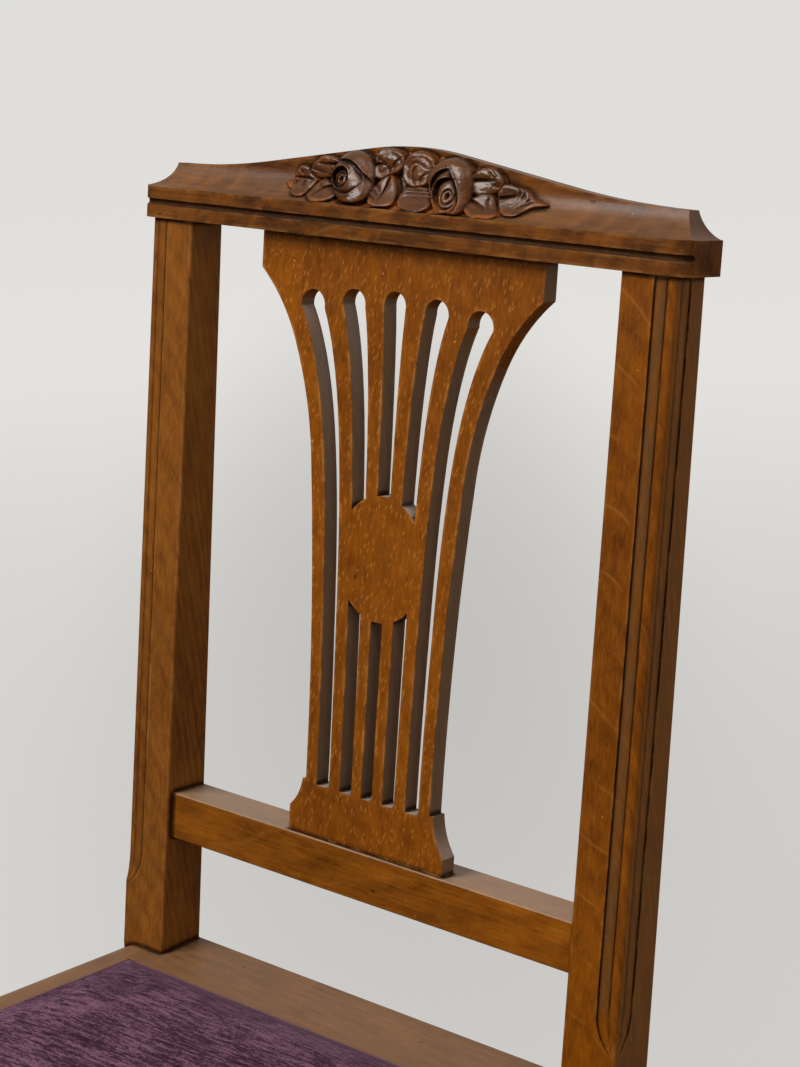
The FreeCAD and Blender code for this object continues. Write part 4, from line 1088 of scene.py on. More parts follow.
@dataclass
class Carving:
    """Two roses among leaves, carved on the crest's hollow."""

    underside: float = 460.0
    fascia: float = 18.6
    ledge_depth: float = -1.7
    hollow_height: float = 17.0
    edge_depth: float = 15.6
    step: float = 0.36
    low: tuple[float, float] = (-98.0, 18.0)
    high: tuple[float, float] = (103.0, 52.6)
    sunk: float = 1.4
    crown: float = 53.4
    crown_half: float = 29.0
    crown_fall: float = 2.3
    relief_height: float = 2.2
    ground_low: float = 1.2
    ground_rise: float = 15.0
    ground_reach: float = 12.0
    ground_sunk: float = 0.8
    ground_middle: float = 2.0
    ground_half: float = 30.0
    ground_fade: float = 45.0
    top_fade: float = 5.0
    margin: float = 5.0
    leaves: tuple[Leaf, ...] = (
        Leaf(((-84.0, 23.4), (-84.9, 26.5), (-81.7, 29.2), (-75.8, 30.3), (-68.0, 30.9), (-67.8, 28.2),
              (-70.0, 24.9), (-71.4, 22.4), (-73.7, 20.9), (-77.9, 20.5), (-81.7, 21.2)),
             cuts=(((-77.5, 28.9), (-75.7, 26.3)),)),
        Leaf(((-85.8, 31.0), (-84.3, 34.6), (-82.0, 37.6), (-77.9, 38.2), (-74.2, 37.1), (-72.4, 34.4),
              (-66.7, 30.5), (-72.4, 28.8), (-78.8, 28.6), (-83.4, 29.1)),
             veins=(((-84.9, 30.8), (-77.5, 31.3), (-70.1, 30.6)),),
             cuts=(((-81.5, 35.9), (-78.8, 32.9)),), lift=0.3),
        Leaf(((-92.3, 28.1), (-89.9, 29.1), (-86.8, 28.3), (-85.3, 26.1), (-86.5, 24.0), (-89.7, 25.7)),
             dome=1.0, lift=-1.2),
        Leaf(((-73.7, 35.2), (-72.6, 38.3), (-69.4, 41.9), (-65.0, 44.5), (-60.8, 44.9), (-55.4, 44.4),
              (-50.6, 42.5), (-52.0, 39.3), (-53.9, 36.3), (-56.2, 32.9), (-61.7, 31.9), (-67.3, 32.0),
              (-71.4, 33.2)),
             veins=(((-51.4, 40.5), (-60.4, 40.2), (-66.8, 40.2)),),
             cuts=(((-71.5, 36.4), (-65.9, 35.4), (-59.6, 34.6)),
                   ((-68.8, 41.5), (-65.7, 42.4))), lift=0.5),
        Leaf(((-69.8, 21.5), (-69.7, 23.7), (-68.1, 26.9), (-65.4, 29.9), (-60.6, 31.9), (-54.3, 30.3),
              (-48.2, 28.7), (-43.9, 24.8), (-46.8, 22.4), (-51.1, 20.1), (-56.6, 19.0), (-63.5, 19.2)),
             veins=(((-50.8, 28.4), (-60.2, 26.4), (-64.5, 22.3)),),
             cuts=(((-60.9, 26.7), (-64.2, 29.1)),), lift=0.5),
        Leaf(((-21.7, 34.8), (-23.7, 38.5), (-24.2, 43.1), (-23.3, 48.0), (-20.9, 51.3), (-15.0, 52.1),
              (-8.3, 51.2), (-3.7, 48.3), (-2.2, 44.0), (-3.2, 41.0), (-7.5, 38.4), (-12.1, 36.6),
              (-16.6, 34.2), (-20.1, 34.3)),
             veins=(((-23.9, 41.9), (-19.5, 42.8), (-15.6, 43.0)),),
             cuts=(((-23.7, 46.9), (-20.5, 44.7), (-16.2, 43.1)),
                   ((-16.5, 43.2), (-12.8, 40.2), (-11.5, 37.1)),
                   ((-4.7, 47.5), (-9.1, 44.5), (-10.2, 40.9))), lift=0.6, hollow=0.6),
        Leaf(((-20.2, 21.1), (-22.5, 24.7), (-21.8, 28.7), (-19.6, 32.1), (-16.5, 35.1), (-10.9, 37.2),
              (-6.9, 34.3), (-3.8, 29.3), (-2.3, 24.1), (-3.7, 20.6), (-10.4, 19.4), (-16.4, 19.6)),
             veins=(((-11.3, 35.5), (-12.1, 29.6), (-13.7, 22.9)),),
             cuts=(((-21.9, 31.2), (-17.8, 30.1), (-14.2, 26.9)),
                   ((-22.6, 28.2), (-18.1, 26.9), (-15.1, 24.6)),
                   ((-21.9, 25.2), (-18.1, 24.1), (-15.7, 22.3))), lift=0.2),
        Leaf(((-2.4, 38.4), (-3.0, 42.2), (-2.0, 46.3), (1.5, 50.1), (6.5, 51.6), (12.8, 50.9), (18.1, 48.0),
              (20.4, 43.7), (19.7, 39.0), (17.1, 34.4), (12.8, 32.2), (6.5, 31.6), (1.3, 33.2), (-1.8, 36.2)),
             cuts=(((1.3, 40.2), (2.7, 43.3), (6.2, 45.1), (10.6, 43.8), (14.9, 41.8)),
                   ((7.1, 43.3), (5.0, 40.5), (5.9, 36.2), (8.3, 32.6)),
                   ((15.5, 40.3), (12.1, 38.1), (10.5, 34.5))), lift=0.9, dome=1.8, hollow=0.5),
        Leaf(((1.0, 21.3), (-0.6, 24.5), (-0.3, 28.0), (1.9, 31.3), (6.0, 32.5), (12.5, 32.8), (18.6, 31.3),
              (22.3, 26.6), (23.3, 22.4), (20.5, 19.6), (16.2, 18.6), (7.9, 18.8)),
             cuts=(((19.3, 30.9), (10.0, 30.5), (3.3, 30.6)),
                   ((19.9, 29.1), (10.9, 28.6), (2.4, 28.5)),
                   ((20.9, 27.2), (12.6, 26.7), (3.1, 26.7))), dome=1.4),
        Leaf(((45.4, 36.4), (45.3, 40.4), (47.7, 43.5), (51.7, 45.4), (57.6, 45.5), (62.4, 43.1),
              (65.3, 39.9), (66.1, 37.0), (64.0, 33.9), (59.0, 31.4), (53.8, 30.1), (49.1, 30.7),
              (46.4, 33.3)),
             veins=(((45.9, 38.3), (53.2, 38.8), (60.0, 39.1)),),
             cuts=(((55.0, 43.8), (58.4, 40.8)),
                   ((57.5, 44.7), (61.4, 41.1)),
                   ((58.9, 36.4), (63.5, 35.2))), lift=0.5),
        Leaf(((46.4, 22.1), (45.3, 25.6), (46.6, 28.2), (50.1, 30.4), (55.4, 32.0), (60.1, 31.3),
              (62.7, 28.1), (66.0, 23.8), (67.7, 20.9), (65.6, 19.1), (59.5, 18.8), (52.7, 18.9)),
             veins=(((47.4, 27.7), (52.9, 25.9), (58.5, 23.6)),),
             cuts=(((59.0, 30.7), (58.2, 27.2), (62.0, 23.2)),), lift=0.3),
        Leaf(((62.8, 29.8), (62.0, 33.8), (64.6, 37.3), (69.3, 37.7), (74.2, 36.8), (78.9, 35.9),
              (82.8, 34.1), (87.7, 30.8), (95.9, 28.4), (89.7, 27.0), (85.6, 25.8), (82.1, 23.6),
              (79.5, 21.6), (75.0, 21.0), (69.8, 21.7), (65.1, 25.3)),
             veins=(((64.3, 30.1), (69.5, 31.0), (74.2, 31.9)),),
             cuts=(((75.1, 36.5), (76.5, 33.5), (75.2, 31.4)),
                   ((78.8, 35.3), (79.4, 32.6), (77.9, 30.9)),
                   ((82.4, 33.7), (83.2, 30.8), (81.5, 29.0)),
                   ((87.3, 29.9), (82.1, 27.9), (76.4, 25.5)))),
    )
    roses: tuple[Rose, ...] = (
        Rose(((-54.5, 30.3), (-56.1, 34.5), (-54.5, 38.5), (-51.0, 43.0), (-47.8, 46.4), (-41.9, 48.7),
              (-35.5, 48.7), (-28.4, 46.4), (-24.2, 42.8), (-21.6, 38.2), (-20.6, 33.1), (-20.5, 27.9),
              (-21.7, 23.7), (-25.2, 21.2), (-31.0, 19.8), (-37.9, 20.1), (-45.1, 22.6), (-50.8, 26.1)),
             (Lip(((-20.8, 30.4), (-23.3, 34.1), (-27.5, 36.8), (-31.4, 39.8), (-35.2, 42.0), (-40.0, 43.4),
                   (-45.0, 43.6), (-49.5, 42.7)), 2.5, 3.8),
              Lip(((-38.4, 34.8), (-39.6, 37.4), (-43.0, 39.3), (-47.2, 38.7), (-50.6, 36.2), (-51.2, 32.8),
                   (-48.6, 29.2), (-44.6, 27.0)), 4.4, 2.2),
              Lip(((-49.8, 27.4), (-46.8, 26.2), (-41.5, 25.0), (-36.3, 24.8), (-32.5, 26.4), (-29.6, 29.1),
                   (-25.5, 33.4)), 2.4, 3.2),
              Lip(((-27.1, 32.8), (-29.6, 35.9), (-36.2, 39.4)), 1.5, 2.4)), (-43.6, 32.7), bud=4.4),
        Rose(((16.7, 34.5), (16.1, 39.1), (17.4, 42.5), (20.9, 46.0), (26.6, 48.7), (32.4, 49.4),
              (38.7, 47.8), (44.1, 44.3), (46.9, 39.9), (48.2, 34.8), (48.5, 29.4), (47.9, 24.1),
              (46.1, 20.7), (42.6, 19.3), (37.0, 19.1), (32.4, 18.8), (27.0, 22.1), (21.2, 27.4)),
             (Lip(((31.9, 43.3), (28.2, 42.6), (24.6, 40.6), (22.5, 37.4), (21.6, 33.5), (22.9, 29.9)),
                  2.5, 2.4),
              Lip(((35.5, 38.2), (30.3, 38.1), (26.8, 36.1), (25.1, 32.7), (25.6, 28.3), (28.6, 23.2),
                   (32.1, 20.4)), 4.6, 2.2),
              Lip(((42.5, 20.4), (43.3, 25.2), (41.8, 30.0), (38.9, 35.1), (35.5, 39.4), (30.9, 43.3)),
                  2.7, 3.2),
              Lip(((30.5, 23.4), (33.4, 21.9), (37.0, 21.4), (39.6, 22.6), (41.6, 25.5)), 2.0, 2.4)),
             (35.1, 28.9), bud=4.6),
    )

    def hollow(self, v: Net) -> Net:
        """Depth of the crest's own hollow and upper edge at a height over its underside."""
        run = self.edge_depth - self.ledge_depth
        share = np.clip((v - self.fascia) / self.hollow_height, 0, 1)
        return self.ledge_depth + run * np.sqrt(1 - (1 - share) ** 2)

    def top_line(self, u: Net) -> Net:
        """Height of the crest's upper edge over its underside, across the carving."""
        far, half = np.abs(u), self.crown_half
        bend = self.crown_fall * (np.minimum(far, half) / half) ** 2
        return self.crown - bend - 2 * self.crown_fall / half * np.maximum(far - half, 0)

    def bed(self, u: Net, v: Net) -> Net:
        """Depth of the ground that the carving stands on: full in the middle, sinking in all round."""
        rise = 1 - np.exp(-np.maximum(v - self.fascia, -3) / self.ground_reach)
        middle = self.ground_low + self.ground_rise * rise
        back = self.hollow(v) + self.ground_sunk
        ends = np.clip((np.abs(u - self.ground_middle) - self.ground_half) / self.ground_fade, 0, 1)
        top = np.clip((self.top_line(u) - v) / self.top_fade, 0, 1)
        return back - (1 - eased(ends)) * eased(top) * np.maximum(back - middle, 0)

    def roughness(self, shape: tuple[int, int], cell: int, seed: int) -> Net:
        """Smooth random waves from -1 to 1.

        Args:
            shape: rows and columns of the net.
            cell: how many steps one wave spans.
            seed: the random pattern's number.

        Returns:
            A value for each place of the net.
        """
        knots = np.random.default_rng(seed).uniform(-1, 1, (shape[0] // cell + 4, shape[1] // cell + 4))
        rows, columns = np.arange(shape[0]) / cell, np.arange(shape[1]) / cell
        i, j = rows.astype(int), columns.astype(int)
        a, b = rows - i, columns - j
        a, b = eased(a)[:, None], eased(b)[None, :]
        at = lambda di, dj: knots[np.ix_(i + di, j + dj)]
        return (at(0, 0) * (1 - a) + at(1, 0) * a) * (1 - b) + (at(0, 1) * (1 - a) + at(1, 1) * a) * b

    def relief(self) -> tuple[Net, Net, Net, Net]:
        """The carving as a net of depths.

        Returns:
            The net's places across and up, its depths, and where it is carved.
        """
        across = np.arange(self.low[0], self.high[0], self.step)
        up = np.arange(self.low[1], self.high[1] + 2 * self.step, self.step)
        u, v = np.meshgrid(across, up)
        limit = self.top_line(u) - 0.2
        below = v < limit + self.step
        v = np.minimum(v, limit)
        bed = self.bed(u, v)
        drape = bed - self.relief_height
        front = np.full(u.shape, 1e3)
        carved = np.zeros(u.shape, bool)
        near = np.full(u.shape, 1e3)
        gouges = 0.10 * self.roughness(u.shape, 9, 3) + 0.06 * self.roughness(u.shape, 3, 5)
        for shape in (*self.leaves, *self.roses):
            left, low = np.min(shape.outline, 0) - self.margin
            right, high = np.max(shape.outline, 0) + self.margin
            box = (u > left) & (u < right) & (v > low) & (v < high)
            within, depth = shape.front(u[box], v[box], drape[box])
            depth = depth + gouges[box]
            front[box] = np.where(within, np.minimum(front[box], depth), front[box])
            carved[box] |= within
            gap, _, _ = reach_to(u[box], v[box], curve_through(shape.outline, True), True)
            near[box] = np.minimum(near[box], np.where(within, 0, gap))
        stipple = 0.26 * self.roughness(u.shape, 3, 11) * np.clip(near / 1.5, 0, 1)
        depth = np.where(carved, np.minimum(front, drape + 1.4), bed + stipple + 0.9 * np.exp(-near / 1.2))
        shown = (carved | (near < 1.0) | (bed < self.hollow(v) + 0.5)) & below
        return u, v, depth, shown

    def build(self) -> Piece:
        """Builds the carving as one closed mesh sunk into the crest."""
        u, v, depth, shown = self.relief()
        rows, columns = u.shape
        number = np.arange(rows * columns).reshape(rows, columns)
        cell = shown[:-1, :-1] | shown[1:, :-1] | shown[:-1, 1:] | shown[1:, 1:]
        corners = quads(number)[cell]
        used = np.zeros(rows * columns, bool)
        used[corners.ravel()] = True
        fresh = np.cumsum(used) - 1
        faces = fresh[corners]
        flat_u, flat_v = u.ravel()[used], v.ravel()[used]
        back = np.maximum(depth.ravel()[used], self.hollow(flat_v)) + self.sunk
        front = on_back(flat_u, flat_v + self.underside, depth.ravel()[used])
        rear = on_back(flat_u, flat_v + self.underside, back)
        count = len(front)
        edges = dict.fromkeys((a, b) for face in faces.tolist() for a, b in zip(face, face[1:] + face[:1]))
        rim = [(b, a, a + count, b + count) for a, b in edges if (b, a) not in edges]
        every = faces.tolist() + (faces[:, ::-1] + count).tolist() + rim
        finish = CARVED_BEECH.material("crest_carving", Grain.ACROSS, 21)
        made = new_object("crest_carving", np.concatenate([front, rear]), every, finish)
        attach(made, "root")
        log.info("crest_carving: %d leaves, %d roses, %d faces", len(self.leaves), len(self.roses),
                 len(every))
        return made


@dataclass(frozen=True)
class Hem:
    """A flat border of cloth: its inset from the rebate's wall, its underside, thickness and width."""

    inset: float
    base: float
    thick: float
    reach: float


@dataclass
class SeatPad:
    """The stuffed seat: a crowned pad under calico and velvet, with rounded corners and sides drawn in."""

    rear_y: float = 126.7
    front_y: float = -196.4
    rear_half: float = 165.0
    front_half: float = 190.9
    border: float = 12.0
    corner: float = 26.0
    draw_in: float = 2.5
    crown: float = 31.0
    crown_rings: Line = (
        (0.0, 0.0), (0.004, 0.16), (0.014, 0.30), (0.038, 0.46), (0.075, 0.58), (0.13, 0.70),
        (0.20, 0.80), (0.32, 0.89), (0.45, 0.95), (0.60, 0.985), (0.78, 1.0))
    drawn_share: float = 0.075
    corner_fullness: float = 0.12
    stuffing: tuple[float, float] = (6.0, -2.8)
    calico: tuple[float, float] = (4.5, -2.8)
    velvet: tuple[float, float] = (0.6, -2.0)
    calico_hem: Hem = Hem(3.5, -2.8, 0.6, 20.0)
    velvet_hem: Hem = Hem(2.0, -2.2, 1.2, 30.0)
    voxel: float = 0.004
    pressure: float = 4.0
    cloth_quality: int = 6
    cloth_frames: int = 20
    held_height: float = 0.0035
    lowest: float = 0.0022
    cap: float = 0.0022

    def corners(self, inset: float) -> Net:
        """The upholstered area's corners, inset by millimetres."""
        slope = (self.front_half - self.rear_half) / (self.rear_y - self.front_y)
        rear, front = self.rear_y - inset, self.front_y + inset
        half = lambda y: self.rear_half + slope * (self.rear_y - y) - inset
        ends = ((half(rear), rear), (-half(rear), rear), (-half(front), front), (half(front), front))
        return np.array(ends)

    def ring(self, inset: float, draw: float, around: int = 14, along: int = 26) -> Net:
        """One level line of the pad.

        Args:
            inset: millimetres in from the pad's edge.
            draw: how far each side is drawn in at its middle.
            around: steps round a corner.
            along: steps on a side.

        Returns:
            One row for each place, counter-clockwise from above.
        """
        corners = self.corners(self.border + inset)
        rows = []
        for i, corner in enumerate(corners):
            before, after = corners[i - 1] - corner, corners[(i + 1) % 4] - corner
            before, after = before / np.linalg.norm(before), after / np.linalg.norm(after)
            start, end = corner + before * self.corner, corner + after * self.corner
            t = np.linspace(0, 1, around)[:, None]
            knee = corner + self.corner_fullness * self.corner * (before + after)
            rows.append((1 - t) ** 2 * start + 2 * t * (1 - t) * knee + t ** 2 * end)
            following = corners[(i + 1) % 4]
            finish = following - after * self.corner
            t = np.linspace(0, 1, along + 2)[1:-1, None]
            inward = np.array([-after[1], after[0]])
            rows.append(end + (finish - end) * t + inward * draw * 4 * t * (1 - t))
        return np.concatenate(rows)

    def form(self, name: str, shrink: float, base: float, material: Material) -> Piece:
        """A closed pad.

        Args:
            name: the object's name.
            shrink: millimetres that it lies inside the velvet.
            base: height of its underside over the seat frame.
            material: its finish.

        Returns:
            The object.
        """
        span = (self.rear_y - self.front_y) / 2 - self.border
        rings = []
        for share, height in self.crown_rings:
            draw = self.draw_in * max(0.0, 1 - share / self.drawn_share)
            flat = self.ring(shrink + share * span, draw)
            level = base + height * (self.crown - shrink - base)
            rings.append(np.column_stack([flat * MM, np.full(len(flat), level * MM + SEAT_TOP)]))
        count = len(rings[0])
        places = np.concatenate(rings + [rings[-1].mean(0)[None], rings[0].mean(0)[None]])
        after = [(i + 1) % count for i in range(count)]
        last = (len(rings) - 1) * count
        faces = [(row + i, row + after[i], row + count + after[i], row + count + i)
                 for row in range(0, last, count) for i in range(count)]
        top, low = len(places) - 2, len(places) - 1
        faces += [(last + i, last + after[i], top) for i in range(count)]
        faces += [(after[i], i, low) for i in range(count)]
        return new_object(name, places, faces, material)

    def border_of(self, hem: Hem) -> tuple[Net, Faces]:
        """A flat mitred border of cloth round the pad: its places and its faces."""
        outer, inner = self.corners(hem.inset), self.corners(hem.inset + hem.reach)
        low, high = SEAT_TOP + hem.base * MM, SEAT_TOP + (hem.base + hem.thick) * MM
        rings = ((outer, high), (inner, high), (inner, low), (outer, low))
        places = np.concatenate([np.column_stack([ring * MM, np.full(4, z)]) for ring, z in rings])
        faces = [(r * 4 + i, r * 4 + (i + 1) % 4, (r + 1) % 4 * 4 + (i + 1) % 4, (r + 1) % 4 * 4 + i)
                 for r in range(4) for i in range(4)]
        return places, faces

    def plump(self, pad: Piece) -> Piece:
        """Swells the pad a little with air pressed into cloth, and keeps the result as its mesh."""
        remesh = pad.modifiers.new("remesh", "REMESH")
        remesh.mode = "VOXEL"
        remesh.voxel_size = self.voxel
        settled(pad)
        start = np.empty(len(pad.data.vertices) * 3)
        pad.data.vertices.foreach_get("co", start)
        start = start.reshape(-1, 3)
        held = pad.vertex_groups.new(name="held")
        low = np.nonzero(start[:, 2] < SEAT_TOP + self.held_height)[0]
        held.add([int(i) for i in low], 1.0, "REPLACE")
        cloth = pad.modifiers.new("cloth", "CLOTH")
        cloth.settings.quality = self.cloth_quality
        cloth.settings.vertex_group_mass = "held"
        cloth.settings.use_pressure = True
        cloth.settings.uniform_pressure_force = self.pressure
        cloth.settings.effector_weights.gravity = 0.0
        cloth.point_cache.frame_start, cloth.point_cache.frame_end = 1, self.cloth_frames
        for number in range(1, self.cloth_frames + 1):
            bpy.context.scene.frame_set(number)
        settled(pad)
        bpy.context.scene.frame_set(1)
        pad.vertex_groups.clear()
        moved = np.empty(len(pad.data.vertices) * 3)
        pad.data.vertices.foreach_get("co", moved)
        shift = moved.reshape(-1, 3) - start
        far = np.linalg.norm(shift, axis=1, keepdims=True)
        log.info("seat: the cloth moved up to %.1f mm", far.max() * 1000)
        start = start + shift * np.minimum(1.0, self.cap / np.maximum(far, 1e-9))
        start[:, 2] = np.maximum(start[:, 2], SEAT_TOP - self.lowest)
        pad.data.vertices.foreach_set("co", start.ravel())
        smooth = pad.modifiers.new("smooth", "SMOOTH")
        smooth.factor, smooth.iterations = 0.5, 2
        finer = pad.modifiers.new("finer", "SUBSURF")
        finer.levels = finer.render_levels = 1
        settled(pad)
        pad.data.shade_smooth()
        return pad

    def join(self, made: Piece, places: Net, faces: Faces) -> Piece:
        """Adds loose faces to an object's mesh, with the same finish."""
        finish = next(m for m in made.data.materials if m)
        extra = new_object(made.name + "_part", places, faces, finish, False)
        with bpy.context.temp_override(active_object=made, selected_editable_objects=[made, extra]):
            bpy.ops.object.join()
        made.data.materials.clear()
        made.data.materials.append(finish)
        made.data.polygons.foreach_set("material_index", [0] * len(made.data.polygons))
        return made

    def build(self) -> None:
        """Builds the stuffing, the calico and the velvet."""
        stuffing = self.form("stuffed_pad", *self.stuffing, CurledHair().material("stuffed_pad"))
        under = self.form("calico_cover", *self.calico, CALICO.material("calico_cover"))
        self.join(under, *self.border_of(self.calico_hem))
        velvet = self.form("velvet_seat", *self.velvet, Velvet().material("velvet_seat"))
        self.join(self.plump(velvet), *self.border_of(self.velvet_hem))
        for made, node, slot in ((stuffing, "seat_stuffing", "hair_stuffing"),
                                 (under, "calico_undercover", "calico_cloth"),
                                 (velvet, "velvet_cover", "plum_velvet")):
            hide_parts(node)
            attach(made, "root")
            log.info("%s: %d faces", made.name, len(made.data.polygons))


@dataclass(frozen=True)
class WovenBand:
    """A flat woven band: threads laid across it, a cord along each edge and perhaps a core."""

    width: float
    pitch: float
    thread: float
    cord: float
    slant: float = 0.0
    core: float = 0.0
    thread_place: float = 0.235
    cord_place: float = 0.455
    core_share: float = 0.92

    def recipe(self) -> Recipe:
        """The tree that lays the threads and cords along the band's middle line."""
        r = Recipe("woven_band")
        names = ("Pitch", "Width", "Thread", "Cord", "Slant", "Core")
        pitch, width, thread, cord, slant, core = (r.size(name) for name in names)
        line = r.add("GeometryNodeMeshToCurve", Mesh=r.start.outputs["Geometry"]).outputs[0]
        steps = r.add("GeometryNodeResampleCurve", Curve=line)
        steps.mode = "LENGTH"
        feed(r.tree, steps.inputs["Length"], pitch)
        points = r.add("GeometryNodeCurveToPoints", Curve=steps.outputs[0])
        points.mode = "EVALUATED"
        parts = []
        for side in (-1, 1):
            bar = r.add("GeometryNodeMeshCylinder", Vertices=6, Radius=thread, Depth=r.times(width, 0.5))
            lay = r.add("GeometryNodeTransform", Geometry=bar.outputs[0], Rotation=(0.0, math.pi / 2, 0.0))
            spin = r.add("ShaderNodeCombineXYZ", Z=r.times(slant, float(side)))
            turned = r.add("GeometryNodeTransform", Geometry=lay.outputs[0], Rotation=spin.outputs[0])
            shift = r.add("ShaderNodeCombineXYZ", X=r.times(width, self.thread_place * side))
            placed = r.add("GeometryNodeTransform", Geometry=turned.outputs[0], Translation=shift.outputs[0])
            along = r.add("FunctionNodeAlignEulerToVector", {"axis": "Y", "pivot_axis": "Z"},
                          Vector=points.outputs["Tangent"])
            parts.append(r.add("GeometryNodeInstanceOnPoints", Points=points.outputs["Points"],
                               Instance=placed.outputs[0], Rotation=along.outputs[0]).outputs[0])
            tangent = r.add("GeometryNodeInputTangent").outputs[0]
            cross = r.add("ShaderNodeVectorMath", {"operation": "CROSS_PRODUCT"}, Vector=tangent)
            cross.inputs[1].default_value = UP
            reach = r.add("ShaderNodeVectorMath", {"operation": "SCALE"}, Vector=cross.outputs[0])
            feed(r.tree, reach.inputs["Scale"], r.times(width, self.cord_place * side))
            edge = r.add("GeometryNodeSetPosition", Geometry=line, Offset=reach.outputs[0])
            ring = r.add("GeometryNodeCurvePrimitiveCircle", Resolution=7, Radius=cord)
            parts.append(r.tube(edge.outputs[0], ring))
        if self.core:
            upright = r.add("GeometryNodeSetCurveNormal", Curve=line)
            upright.mode = "Z_UP"
            strip = r.add("GeometryNodeCurvePrimitiveQuadrilateral", Width=r.times(width, self.core_share),
                          Height=core)
            parts.append(r.tube(upright.outputs[0], strip))
        r.finish(*parts)
        return r

    def lay(self, name: str, lines: Sequence[Net], material: Material) -> Piece:
        """Lays the band along lines.

        Args:
            name: the object's name.
            lines: rows of places in millimetres over the floor's middle.
            material: the finish.

        Returns:
            The object.
        """
        places: list[Net] = []
        edges = []
        for row in lines:
            first = len(places)
            places += list(row * MM)
            edges += [(first + i, first + i + 1) for i in range(len(row) - 1)]
        mesh = bpy.data.meshes.new(name)
        mesh.from_pydata([tuple(map(float, p)) for p in places], edges, [])
        return self.recipe().grow(in_scene(name, mesh), Pitch=self.pitch * MM, Width=self.width * MM,
                                  Thread=self.thread * MM, Cord=self.cord * MM, Slant=self.slant,
                                  Core=self.core * MM, Material=material)


@dataclass
class GimpBraid:
    """Flat braid round the seat: a woven band with slanting threads and a cord along each edge."""

    pad: SeatPad
    gap: float = 0.4
    base: float = -1.0
    thick: float = 0.9
    band: WovenBand = WovenBand(11.6, 1.25, 0.42, 0.62, slant=0.62)

    def build(self) -> Piece:
        """Builds the braid and stands it in for the construction model's band."""
        middle = self.pad.corners(self.gap + self.band.width / 2)
        level = SEAT_TOP / MM + self.base + self.thick
        edges = [np.array([[*middle[i], level], [*middle[(i + 1) % 4], level]]) for i in range(4)]
        braid = self.band.lay("gimp_edging", edges, Braid().material("gimp_edging"))
        self.pad.join(braid, *self.pad.border_of(Hem(self.gap, self.base, self.thick, self.band.width)))
        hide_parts("gimp_braid")
        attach(braid, "root")
        log.info("gimp_edging: %d faces", len(braid.data.polygons))
        return braid


